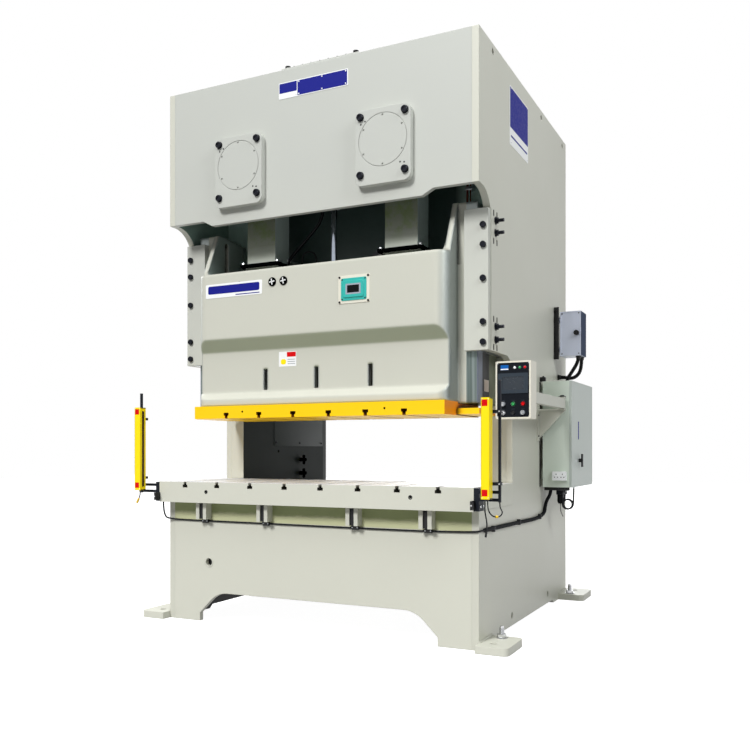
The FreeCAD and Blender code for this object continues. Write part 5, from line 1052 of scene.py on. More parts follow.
def crown_pipes():
    """Oil and air lines that show through the notch, with their clips."""
    soft_line("oil_pipe_left", [(-0.487, -0.76, 2.8), (-0.487, -0.76, 2.85),
                                (-0.33, -0.76, 2.99), (-0.17, -0.76, 3.135),
                                (-0.154, -0.76, 3.25), (-0.154, -0.76, 3.42)],
              0.012, "conduit")
    soft_line("oil_pipe_loop", [(-0.326, -0.8, 2.76), (-0.326, -0.8, 2.85),
                                (-0.3, -0.8, 2.9), (-0.22, -0.8, 2.9),
                                (-0.189, -0.8, 2.845), (-0.189, -0.8, 2.76)],
              0.006, "conduit")
    soft_line("oil_pipe_right", [(0.975, -0.56, 2.6), (0.975, -0.56, 3.3),
                                 (0.975, -0.54, 3.5), (0.9, -0.53, 3.6)],
              0.009, "copper")
    soft_line("oil_pipe_right_thin", [(0.998, -0.56, 2.6), (0.998, -0.56, 3.25),
                                      (0.998, -0.54, 3.4), (0.94, -0.53, 3.56)],
              0.005, "copper")
    mesh = bmesh.new()
    for z in (2.75, 3.05, 3.3):
        add_block(mesh, (0.956, -0.567, z - 0.014), (1.016, -0.509, z + 0.014), 0.003)
        add_hex_bolt(mesh, (0.986, -0.567, z), FORWARD, 0.007, 0.005)
    for x, z in ((-0.487, 2.86), (-0.154, 3.3)):
        add_block(mesh, (x - 0.016, -0.775, z - 0.01), (x + 0.016, -0.509, z + 0.01), 0.003)
    piece("pipe_clips", mesh, ["zinc"])


def cylinder_details():
    """Tie rods, cap bolts and port of the balance cylinder."""
    low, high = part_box("balance_cylinder")
    bottom, top = low.z + 0.024, high.z
    mesh = bmesh.new()
    for place in grid((-0.092, 0.092), (-0.954, -0.77), 0):
        add_turned(mesh, [(0.008, bottom + 0.01), (0.008, top - 0.015)],
                   Matrix.Translation(place), 12)
    for spot in around(Matrix.Translation((0, -0.862, bottom)), 0.075, 8, 0.39):
        add_hex_bolt(mesh, spot.translation, DOWN, 0.009, 0.008, True, 1)
    add_disc(mesh, "right", (0.108, -0.862, bottom + 0.075),
             [(0.02, 0), (0.02, 0.014), (0.016, 0.016), (0.016, 0.036)], 6, 1)
    piece("cylinder_fittings", mesh, ["zinc", "bolt"])


# ---------------------------------------------------------------- bed and throat

LIFTERS = (-0.936, -0.376, 0.376, 0.936)
INNER_SIDE = 1.245      # inner faces of the side plates
PIN_HOLE = (-0.911, FRONT, 0.463)
PIN_HOLE_FLOOR = (-0.911, -1.186, 0.463)
FOOT_TOP = 0.052


def bed_details():
    """Rollers' black bars between the lifter brackets, and a rim round the pin hole."""
    mesh = bmesh.new()
    for x in LIFTERS:
        add_block(mesh, (x - 0.02, -1.283, 0.803), (x + 0.02, -1.223, 0.922), 0.004)
        add_turned(mesh, [(0.01, -0.03), (0.01, 0.03)], along_x((x, -1.262, 0.9)), 14, 1)
    piece("lifter_bars", mesh, ["black", "bolt"])
    mesh = bmesh.new()
    add_rim(mesh, "front", PIN_HOLE, (0.078, 0.078, 0.0389, 7), (0.06, 0.06, 0.0299, 7),
            0.003)
    piece("bed_port_rim", mesh, ["paint"])


def jack_threads():
    """Levelling jacks: threaded studs with a washer, a nut and a drive end."""
    mesh = bmesh.new()
    pitch, radius = 0.004, 0.018
    thread = [(radius - 0.0015, FOOT_TOP)]
    height = 0.084
    while height < 0.122:
        thread += [(radius - 0.002, height), (radius, height + pitch / 2)]
        height += pitch
    thread += [(radius - 0.002, height), (0.0135, height + 0.002), (0.0125, 0.135)]
    nut = [(0.029, 0.0565), (0.034, 0.06), (0.034, 0.079), (0.029, 0.082)]
    for place in grid((-1.383, 1.383), (-1.004, 1.004), 0):
        base = Matrix.Translation(place)
        add_turned(mesh, thread, base)
        add_turned(mesh, band(radius, 0.04, 0.0525, 0.0565), base, 32, close=False)
        add_turned(mesh, nut, base, 6)
    piece("jack_studs", mesh, ["bright"], angle=30, replaces=("levelling_jacks",),
          slot="machined_steel")


def foot_details():
    """Weld beads where the foot plates meet the side plates."""
    mesh = bmesh.new()
    for side, (low, high) in product((-1, 1), ((-1.222, -0.945), (0.945, 1.222))):
        seam(mesh, (side * SIDE, low, FOOT_TOP), (side * SIDE, high, FOOT_TOP), 0.011,
             (side, 0, 0), UP, (high - low) / 40.5, 0.2, 2.6)
    piece("foot_welds", mesh, ["paint"], angle=60)


def throat_details():
    """Cover panels in dark painted shade, socket clusters and plugs on the columns' inner
    faces.
    """
    mesh = bmesh.new()
    for face, x, out in (("right", -1.12, 1), ("left", 1.12, -1)):
        panel = x + out * 0.004
        add_block(mesh, (min(x, panel), 0.025, 1.375), (max(x, panel), 0.925, 2.1), 0.0015)
        for y, z in ((0.055, 1.405), (0.895, 1.405), (0.055, 2.07), (0.895, 2.07),
                     (0.475, 1.405), (0.475, 2.07)):
            add_socket_bolt(mesh, (panel, y, z), RIGHT * out, 0.009, 0.005, 1)
        for z in (1.245, 1.114):
            hub = on_face(face, (x, 0.499, z))
            add_turned(mesh, [(0.02, 0), (0.02, 0.01), (0.014, 0.014), (0.014, 0.03),
                              (0.018, 0.032), (0.018, 0.044), (0.012, 0.048)], hub, 20, 2)
            for spot in around(hub, 0.03, 4, 0, 0.026):
                add_turned(mesh, [(0.012, 0), (0.017, 0.004), (0.017, 0.016),
                                  (0.012, 0.02)], spot, 16, 2)
        add_disc(mesh, face, (x, 0.101, 1.326), [(0.012, 0), (0.012, 0.002), (0.008, 0.003)],
                 16, 2)
    piece("throat_panels", mesh, ["inner", "bolt", "void"])


def dark_bores():
    """A black disc in the bed's pin hole and black rings round the bolster's tapped holes, as
    painted shade in the holes.
    """
    mesh = bmesh.new()
    add_disc(mesh, "front", PIN_HOLE_FLOOR, band(0.0, 0.0305, 0.0, 0.004))
    for place in grid((-0.85, 0.85), -1.342, 1.015):
        add_disc(mesh, "front", place, [(0.0085, 0.0), (0.0155, 0.0), (0.015, 0.0004),
                                        (0.0085, 0.0004)], 20, close=False)
    piece("pin_hole_shade_discs", mesh, ["black"])


# ---------------------------------------------------------------- light curtains

CURTAIN_BOTTOM, CURTAIN_TOP = 1.022, 1.667
CURTAIN_FRONT, CURTAIN_BACK = -1.461, -1.399


def curtain_lens(side, x, label):
    """The bar's inner strip between two black edges, with twenty beams."""
    mesh = bmesh.new()
    inner = x - side * 0.0285
    low, high = sorted((inner - side * 0.0012, inner + side * 0.001))
    add_block(mesh, (low, -1.438, CURTAIN_BOTTOM + 0.03),
              (high, -1.422, CURTAIN_TOP - 0.03), 0.0004)
    for y in (-1.44, -1.42):
        add_block(mesh, (low - 0.0004, y - 0.0022, CURTAIN_BOTTOM + 0.026),
                  (high + 0.0004, y + 0.0022, CURTAIN_TOP - 0.026), 0.0008, 1)
    for index in range(20):
        z = CURTAIN_BOTTOM + 0.05 + (CURTAIN_TOP - CURTAIN_BOTTOM - 0.1) * index / 19
        add_disc(mesh, "left" if side > 0 else "right", (inner, -1.43, z),
                 [(0.0052, 0), (0.0052, 0.0022), (0.003, 0.003)], 12)
    piece(f"curtain_lens_{label}", mesh, ["lens", "black"])


def curtain_trim(side, x, label):
    """Red marks, end caps with screws, edge strips and the leads' glands."""
    mesh = bmesh.new()
    face = CURTAIN_FRONT + 0.0004
    for z in (CURTAIN_TOP - 0.034, CURTAIN_BOTTOM + 0.04):
        add_plate(mesh, "front", (x - 0.004, face, z), (0.038, 0.042), 0.001, 0, 0.002,
                  0.0003)
    for z in (CURTAIN_BOTTOM, CURTAIN_TOP - 0.007):
        add_block(mesh, (x - 0.0292, CURTAIN_FRONT + 0.0002, z),
                  (x + 0.0292, CURTAIN_BACK + 0.0007, z + 0.007), 0.0015, 1)
    for z, across in product((CURTAIN_BOTTOM + 0.01, CURTAIN_TOP - 0.01), (-0.02, 0.02)):
        add_socket_bolt(mesh, (x + across, face, z), FORWARD, 0.0032, 0.0016, 2)
    for edge in (x - 0.0262, x + 0.0262):
        add_block(mesh, (edge - 0.0012, CURTAIN_FRONT, CURTAIN_BOTTOM + 0.012),
                  (edge + 0.0012, CURTAIN_FRONT + 0.001, CURTAIN_TOP - 0.012), 0.0004, 3)
    gland = [(0.0085, 0), (0.0085, -0.006), (0.007, -0.008), (0.0062, -0.014)]
    for across, y in ((-0.016, -1.418), (0.006, -1.43)) if side > 0 else ((0, -1.43),):
        add_turned(mesh, gland, Matrix.Translation((x + across, y, CURTAIN_BOTTOM)), 18, 1)
    piece(f"curtain_trim_{label}", mesh, ["red", "black", "bright", "curtain"])


def curtain_post(side, label):
    """The post's block, collars and screws."""
    mesh = bmesh.new()
    low, high = sorted((side * 1.293, side * 1.311))
    add_block(mesh, (low, -1.396, 0.945), (high, -1.342, 1.004), 0.002)
    add_socket_bolt(mesh, (side * 1.302, -1.396, 0.975), FORWARD, 0.0055, 0.004, 1)
    post = side * 1.478
    for z in (1.777, 0.998):
        add_block(mesh, (post - 0.0088, -1.3558, z), (post + 0.0088, -1.3382, z + 0.007),
                  0.0015)
    for z in (1.118, 1.58):
        add_socket_bolt(mesh, (post + side * 0.012, -1.3985, z), FORWARD, 0.0045, 0.004, 1)
        add_socket_bolt(mesh, (post + side * 0.016, -1.35, z), RIGHT * side, 0.005, 0.0018,
                        1)
    for place in grid(side * 1.336, (-1.32, -1.26), (0.965, 1.055)):
        add_socket_bolt(mesh, place, RIGHT * side, 0.009, 0.008, 1)
    piece(f"curtain_post_caps_{label}", mesh, ["black", "bright", "iron"])


def curtain_details():
    """Both light curtains: lens strips, trim, and the posts' fittings."""
    for side, label in ((-1, "left"), (1, "right")):
        curtain_lens(side, side * 1.418, label)
        curtain_trim(side, side * 1.418, label)
        curtain_post(side, label)


# ---------------------------------------------------------------- pendant

PENDANT = (1.435, 1.7495)       # the box's middle, across and up
PENDANT_FRONT = -0.91
PANEL = PENDANT_FRONT - 0.0018  # front of the black panel on the box


def pendant_face():
    """Black panel in a cream rim, with its lamps, display and plain marks."""
    mesh = bmesh.new()
    centre = Vector((PENDANT[0], PENDANT_FRONT, PENDANT[1]))
    origin = Vector((0, PANEL, 0))
    add_rim(mesh, "front", centre, (0.25, 0.399, 0.01), (0.228, 0.377, 0.006), 0.004)
    add_plate(mesh, "front", centre, (0.228, 0.377), 0.0018, 1, 0.005, 0.0004)
    add_plates(mesh, "front", origin, (1.374, 1.905, 0.056, 0.034, 0.0008, 2, 0.002, 0.0002))
    add_plates(mesh, "front", origin - BACK * 0.0008,
               (1.374, 1.893, 0.056, 0.007, 0.0003, 3, 0.001, 0.0001))
    for x, look in ((1.447, 3), (1.483, 4), (1.519, 5)):
        lamp = Vector((x, PANEL, 1.902))
        add_disc(mesh, "front", lamp, [(0.0125, 0), (0.0125, 0.003), (0.0105, 0.004)], 20, 6)
        add_dome(mesh, "front", lamp - BACK * 0.003, 0.0095, 0.007, look)
    screen = (PENDANT[0], PANEL, 1.795)
    add_rim(mesh, "front", screen, (0.212, 0.14, 0.006), (0.15, 0.09, 0.003), 0.005, 6)
    add_plate(mesh, "front", screen, (0.15, 0.09), 0.0022, 7, 0.002, 0.0003)
    for place in grid((1.365, 1.435, 1.505), PANEL, (1.652, 1.592)):
        add_disc(mesh, "front", place, [(0.0135, 0), (0.0145, 0), (0.0165, 0.0015),
                                        (0.0165, 0.0002)], 28, 8, False)
        add_plate(mesh, "front", place + UP * 0.025, (0.022, 0.0026), 0.0005, 6, 0.001,
                  0.0001)
    for place in grid((1.325, 1.545), PANEL, (1.566, 1.933)):
        add_socket_bolt(mesh, place, FORWARD, 0.0038, 0.002, 8)
    piece("pendant_face", mesh, ["cream", "panel", "sign", "white", "green", "red",
                                 "bezel", "screen", "bright"], "pendant")

    mesh = bmesh.new()
    for place in grid((1.33, 1.54), -0.77, (1.57, 1.929)):
        add_socket_bolt(mesh, place, BACK, 0.005, 0.004)
    add_plate(mesh, "rear", (PENDANT[0], -0.77, PENDANT[1]), (0.215, 0.36), 0.002, 1, 0.006)
    low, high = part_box("pendant_arm")
    for place in grid((low.x - 0.018, high.x + 0.018), -0.768, (low.z + 0.02, high.z - 0.02)):
        add_hex_bolt(mesh, place, BACK, 0.007, 0.005)
    add_rim(mesh, "rear", (1.498, -0.769, 1.711), (0.1, 0.13, 0.008),
            (0.051, 0.081, 0.002), 0.008, 1)
    piece("pendant_rear", mesh, ["bolt", "cream"], "pendant")

    mesh = bmesh.new()
    add_turned(mesh, [(0.03, 0), (0.03, 0.004), (0.018, 0.006), (0.018, 0.011),
                      (0.012, 0.014)], Matrix.Translation((1.498, 0.243, 1.766)))
    for z, y in product((1.45, 1.62), (0.226, 0.26)):
        add_hex_bolt(mesh, (1.307, y, z), RIGHT, 0.006, 0.006, False)
    piece("pendant_pivot_bolts", mesh, ["bolt"])


def control_caps():
    """Caps, grips and pointers on the pendant's six controls."""
    for name, x, z, look in (("start_button", 1.435, 1.652, "green"),
                             ("stop_button", 1.505, 1.652, "red"),
                             ("inch_button", 1.435, 1.592, "black")):
        mesh = bmesh.new()
        add_disc(mesh, "front", (x, -0.918, z), [(0.0104, 0), (0.0104, 0.0004),
                                                 (0.0095, 0.0014), (0.006, 0.0008),
                                                 (0.003, 0.0005)])
        piece(name + "_cap", mesh, [look], name)
    for name, x, z in (("speed_knob", 1.365, 1.652), ("mode_knob", 1.505, 1.592)):
        mesh = bmesh.new()
        add_disc(mesh, "front", (x, -0.915, z), [(0.015, 0), (0.0156, 0.001),
                                                 (0.0156, 0.008), (0.014, 0.012)], 12)
        add_plate(mesh, "front", (x, -0.93, z), (0.007, 0.029), 0.0068, 0, 0.003, 0.001)
        add_plate(mesh, "front", (x, -0.9368, z + 0.007), (0.0018, 0.012), 0.0004, 1, 0.0008,
                  0)
        piece(name + "_grip", mesh, ["bright", "black"], name)
    mesh = bmesh.new()
    add_disc(mesh, "front", (1.365, -0.914, 1.592), [(0.0095, 0.0), (0.0095, 0.004),
                                                     (0.007, 0.006)], 20)
    add_turned(mesh, [(0.0085, -0.0015), (0.01, 0.0), (0.0085, 0.0015)],
               along_x((1.365, -0.9405, 1.592)))
    piece("key_bow", mesh, ["bright"], "key_switch")


# ---------------------------------------------------------------- cabinets

DOOR = (1.559, 0.307, 1.03), (1.559, 1.108, 1.902)     # corners of the door's face
DOOR_BACK = 1.5412
GLAND_FACE = 1.03      # underside of the cabinet


def cabinet_details():
    """Door trim and gasket, hinge brackets, the outlet's plate and the handle's cap."""
    (face, front, bottom), (_, rear, top) = DOOR
    width, height = rear - front, top - bottom
    mesh = bmesh.new()
    add_rim(mesh, "right", (face, (front + rear) / 2, (bottom + top) / 2),
            (width, height, 0.006), (width - 0.02, height - 0.02, 0.004), 0.0014)
    add_plate(mesh, "right", (face, 0.56, 1.5), (0.03, 0.15), 0.001, 1, 0.002, 0.0002)
    add_disc(mesh, "right", (face, 0.47, 1.248), [(0.013, 0), (0.013, 0.002),
                                                   (0.01, 0.004), (0.003, 0.0035)], 20, 2)
    piece("door_trim", mesh, ["door", "blue", "bright"], "cabinet_door")

    mesh = bmesh.new()
    add_block(mesh, (DOOR_BACK - 0.0012, front + 0.012, bottom + 0.012),
              (DOOR_BACK - 0.0004, rear - 0.012, top - 0.012))
    piece("door_gasket", mesh, ["black"], "cabinet_door")

    mesh = bmesh.new()
    for y in (0.322, 1.09):
        add_block(mesh, (1.2955, y - 0.014, top), (1.342, y + 0.014, top + 0.036), 0.003)
        add_hex_bolt(mesh, (1.322, y, top + 0.036), UP, 0.008, 0.006)
    add_block(mesh, (1.33, 0.318, bottom - 0.026), (1.536, 0.346, bottom), 0.003)
    add_block(mesh, (1.33, 0.36, bottom - 0.018), (1.375, 0.44, bottom), 0.003)
    add_block(mesh, (1.2955, 0.299, bottom + 0.004), (1.3035, 0.31, top - 0.004), 0.001)
    piece("cabinet_brackets", mesh, ["black"])

    mesh = bmesh.new()
    centre = Vector((1.4645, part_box("cabinet_shell")[0].y, 1.124))
    add_plate(mesh, "front", centre, (0.118, 0.074), 0.006, 0, 0.006, 0.002)
    face = centre - BACK * 0.006
    for x in (-0.026, 0.026):
        add_plates(mesh, "front", face, (x, 0.014, 0.006, 0.01, 0.0006, 1, 0.0015, 0.0002),
                   (x - 0.012, -0.01, 0.01, 0.006, 0.0006, 1, 0.0015, 0.0002),
                   (x + 0.012, -0.01, 0.01, 0.006, 0.0006, 1, 0.0015, 0.0002))
    for x in (-0.05, 0.05):
        add_dome(mesh, "front", face + RIGHT * x, 0.003, 0.0012, 2)
    piece("outlet_plate", mesh, ["white", "void", "grey"])

    mesh = bmesh.new()
    add_disc(mesh, "right", (1.593, 0.581, 1.248), [(0.01, -0.002), (0.01, 0.0),
                                                     (0.006, 0.0012)], 16)
    piece("handle_cap", mesh, ["bolt"], "cabinet_handle")


def switch_box_details():
    """Rim, hinge side, mounting strip and side plate of the switch box; its glands."""
    low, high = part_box("switch_box")
    x0, x1 = 1.352, high.x
    centre = Vector(((x0 + x1) / 2, low.y, (low.z + high.z) / 2))
    width, height = x1 - x0, high.z - low.z
    mesh = bmesh.new()
    add_rim(mesh, "front", centre, (width, height, 0.005),
            (width - 0.022, height - 0.022, 0.003), 0.003)
    add_block(mesh, (x0 - 0.001, low.y - 0.002, low.z + 0.004),
              (x0 + 0.01, low.y + 0.03, high.z - 0.004), 0.001, 1)
    add_block(mesh, (1.298, low.y - 0.005, low.z - 0.028), (1.343, low.y, high.z + 0.044),
              0.001, 1)
    add_hex_bolt(mesh, (1.318, low.y - 0.005, high.z + 0.02), FORWARD, 0.015, 0.014, True, 1)
    # The box's right side, in the darker enamel of painted shade.
    add_plate(mesh, "right", (x1, (low.y + high.y) / 2, centre.z),
              (high.y - low.y - 0.004, height - 0.004), 0.002, 2, 0.004)
    for u, v in product((-1, 1), (-1, 1)):
        add_socket_bolt(mesh, centre + RIGHT * u * (width / 2 - 0.018)
                        + UP * v * (height / 2 - 0.018), FORWARD, 0.005, 0.004, 1)
    piece("switch_box_trim", mesh, ["box", "black", "box_side", "label"])
    mesh = bmesh.new()
    nut = [(0.019, 0), (0.0245, 0.002), (0.0245, 0.012), (0.0205, 0.014), (0.0205, 0.026),
           (0.018, 0.03)]
    for place, direction in (((1.5, 0.828, 2.157), DOWN), ((1.505, 0.928, 2.157), DOWN),
                             ((1.398, 0.828, 1.902), UP), ((1.295, 0.928, 1.985), RIGHT)):
        add_turned(mesh, nut, frame_at(place, direction), 10)
    piece("conduit_glands", mesh, ["black"])


COIL_CENTRE = Vector((1.474, 0.52, 0.88))
COIL_RADIUS = 0.04
COIL_PITCH = 0.013
COIL_TURNS = 3.5
COIL_LEAN = 0.012
HOSE_RADIUS = 0.0065
POINTS_PER_TURN = 12
# A NURBS line runs inside its control points by this share of the radius.
COIL_SWELL = 1 / (0.75 + 0.25 * math.cos(2 * math.pi / POINTS_PER_TURN))


def coil_route():
    """From one gland under the cabinet round the coil and up to the other."""
    radius = COIL_RADIUS * COIL_SWELL
    count = int(COIL_TURNS * POINTS_PER_TURN)
    turns = []
    for step in range(count + 1):
        angle = math.pi * (1 + 2 * COIL_TURNS * step / count)
        turns.append(COIL_CENTRE + Vector((radius * math.cos(angle),
                                           COIL_PITCH * COIL_TURNS * step / count,
                                           radius * math.sin(angle))))
    ends = []
    for turn, way in ((turns[0], -1), (turns[-1], 1)):
        gland = Vector((turn.x, turn.y + COIL_LEAN * way, GLAND_FACE))
        ends.append([gland, gland - UP * 0.012, gland - UP * 0.05 - BACK * 0.001 * way,
                     turn + UP * 0.075 + BACK * 0.006 * way,
                     turn + UP * 0.025 + BACK * 0.001 * way])
    return [tuple(point) for point in ends[0] + turns + ends[1][::-1]]


def air_preparation():
    """Filter and regulator with bowls, caps, a gauge and their hose coil."""
    mesh = bmesh.new()
    x, filter_y, regulator_y = 1.404, 0.573, 0.663
    for y, radius, bottom in ((filter_y, 0.025, 0.88), (regulator_y, 0.021, 0.902)):
        add_block(mesh, (x - 0.03, y - 0.03, 0.958), (x + 0.03, y + 0.03, 1.029), 0.004)
        bowl = Matrix.Translation((x, y, 0))
        add_turned(mesh, [(0.006, bottom), (radius * 0.7, bottom + 0.002),
                          (radius, bottom + 0.014), (radius, 0.935), (radius + 0.003, 0.938),
                          (radius + 0.003, 0.957)], bowl, 24, 1)
        for spot in around(bowl, radius + 0.0006, 8):
            add_turned(mesh, [(0.0016, bottom + 0.02), (0.0016, 0.934)], spot, 8)
    add_block(mesh, (x - 0.015, filter_y + 0.028, 0.994),
              (x + 0.015, regulator_y - 0.028, 1.028), 0.003, 2)
    gauge = on_face("right", (x + 0.03, filter_y, 0.993))
    add_turned(mesh, [(0.006, 0), (0.006, 0.004), (0.0195, 0.006), (0.02, 0.016),
                      (0.018, 0.018)], gauge, 28)
    add_turned(mesh, [(0.0168, 0.0175), (0.0168, 0.0182)], gauge, 28, 3)
    marks = [(math.radians(135 - 270 * index / 8), 0.0138, 0.001, 0.004, 0.0003, 0.0005, 0)
             for index in range(9)]
    for turn, out, width, length, corner, thick, look in marks + [
            (0.9, 0.005, 0.0014, 0.013, 0.0005, 0.0008, 4)]:
        place = gauge @ Matrix.Rotation(turn, 4, "Z") @ Matrix.Translation((0, out, 0.018))
        add_prism(mesh, rounded(width, length, corner), thick, place, look)
    piece("air_filter_regulator", mesh, ["post", "glass", "zinc", "label", "red"],
          replaces=("air_unit",), slot="post_black")
    soft_line("drain_pipe", [(x, filter_y, 0.881), (x, filter_y, 0.84),
                             (x + 0.004, filter_y + 0.002, 0.805),
                             (x + 0.02, filter_y + 0.01, 0.771)], 0.003, "sheath")

    mesh = bmesh.new()
    route = coil_route()
    for place in (route[0], route[-1]):
        add_turned(mesh, [(0.007, 0), (0.01, 0.0), (0.01, -0.008), (0.0075, -0.01),
                          (0.0075, -0.018), (0.0056, -0.02)], Matrix.Translation(place), 6)
    glands = piece("coil_glands", mesh, ["zinc"])
    hose = soft_line("air_hose_coil", route, HOSE_RADIUS, "sheath")


# ---------------------------------------------------------------- fixed cables

def bed_cables():
    """The cable along the bed's front and the ribbed sleeve along its side."""
    cable = soft_line("bed_front_cable", FRONT_CABLE, 0.0065, "sheath")
    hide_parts("bed_cables")
    sleeve = ribbed_hose("bed_side_sleeve", SIDE_SLEEVE, 0.015, 0.008, 0.0014, "sleeve")
    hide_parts("bed_cables")
    mesh = bmesh.new()
    for x in LIFTERS:
        add_block(mesh, (x - 0.028, -1.241, 0.768), (x + 0.028, -1.222, 0.7995), 0.003)
        for across in (-0.02, 0.02):
            add_socket_bolt(mesh, (x + across, -1.241, 0.784), FORWARD, 0.004, 0.003, 1)
    for y in (-0.962, -0.342, 0.258):
        add_block(mesh, (1.295, y - 0.007, 0.769), (1.3235, y + 0.007, 0.8115), 0.004)
    add_turned(mesh, [(0.0135, 0), (0.02, 0.0), (0.02, -0.016), (0.015, -0.02),
                      (0.015, -0.03)], Matrix.Translation(SIDE_SLEEVE[-1]), 10)
    piece("cable_clips", mesh, ["black", "zinc"], replaces=("bed_cables",))


def conduits():
    """The two ribbed conduits from the switch box."""
    for name, route in CONDUITS.items():
        hose = ribbed_hose(name, route, 0.0165, 0.006, 0.0025, "conduit")
        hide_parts("conduits")


# ---------------------------------------------------------------- rear drive

BELTS = 5
BELT_PITCH = 0.0205
BELT_FACE = 0.017
HULL_STEPS = 40
REAR = 1.222            # rear faces of the crown and the bed


def circle_hull(first, first_radius, second, second_radius):
    """Outline round two circles, as a tight belt lies on them."""
    gap = Vector(second) - Vector(first)
    lean = math.acos((first_radius - second_radius) / gap.length)
    heading = math.atan2(gap.y, gap.x)
    points = []
    for middle, radius, start, sweep in (
            (first, first_radius, heading + lean, 2 * math.pi - 2 * lean),
            (second, second_radius, heading - lean, 2 * lean)):
        for step in range(HULL_STEPS + 1):
            angle = start + sweep * step / HULL_STEPS
            points.append((middle[0] + radius * math.cos(angle),
                           middle[1] + radius * math.sin(angle)))
    return points


def belts():
    """Five belts side by side, each a loop round the flywheel and the pulley."""
    circles = []
    for node in ("flywheel", "motor_pulley"):
        low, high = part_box(node)
        circles.append((((low.x + high.x) / 2, (low.z + high.z) / 2),
                        (high.x - low.x) / 2))
    (wheel, wheel_radius), (pulley, pulley_radius) = circles
    outer, inner = (circle_hull(wheel, wheel_radius + out, pulley, pulley_radius + out)
                    for out in (0.0138, 0.0004))
    middle = centre_of("drive_belts").y
    mesh = bmesh.new()
    for index in range(BELTS):
        end = middle + (index - (BELTS - 1) / 2) * BELT_PITCH + BELT_FACE / 2
        add_ring(mesh, outer, inner, BELT_FACE, Matrix.Translation((0, end, 0))
                 @ Matrix.Rotation(math.pi / 2, 4, "X"))
    piece("belt_set", mesh, ["rubber"], replaces=("drive_belts",), slot="dark_rubber")


def flywheel_details():
    """Hub bush with its screws, rim balance holes and turned rings."""
    middle = centre_of("flywheel")
    hub = on_face("rear", (middle.x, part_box("flywheel")[1].y, middle.z))
    mesh = bmesh.new()
    add_turned(mesh, [(0.06, 0.0), (0.112, 0.0), (0.112, 0.003), (0.109, 0.005),
                      (0.076, 0.005), (0.072, 0.003), (0.06, 0.003)], hub, 48, close=False)
    for spot in around(hub, 0.093, 6, 0, 0.005):
        add_hex_bolt(mesh, spot.translation, BACK, 0.01, 0.008, True, 1)
    for radius in (0.381, 0.436):
        add_turned(mesh, band(radius, radius + 0.004, 0, 0.002), hub, 72, close=False)
    for index, spot in enumerate(around(hub, 0.41, 14, 0.2)):
        add_turned(mesh, [(0.0105, 0), (0.0105, 0.0006), (0.003, 0.0009)], spot, 18,
                   2 if index in (3, 4, 5) else 0)
    piece("flywheel_hub_ring", mesh, ["iron", "bolt", "black"], "flywheel")
    middle = centre_of("drive_shaft")
    end = on_face("rear", (middle.x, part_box("drive_shaft")[1].y, middle.z))
    mesh = bmesh.new()
    add_turned(mesh, [(0.044, 0), (0.044, 0.002), (0.012, 0.0022)], end, 36)
    add_hex_bolt(mesh, end @ Vector((0, 0, 0.002)), BACK, 0.012, 0.008, False, 1)
    piece("shaft_end_cap", mesh, ["bright", "bolt"], "shaft")


# A louvre's foot on the door and its narrower top, open towards the floor.
LOUVRE = ([(-0.13, -0.004, 0), (0.13, -0.004, 0), (0.13, 0.01, 0), (-0.13, 0.01, 0)],
          [(-0.1222, 0.006, 0.01), (0.1222, 0.006, 0.01), (0.1222, 0.01, 0.01),
           (-0.1222, 0.01, 0.01)])


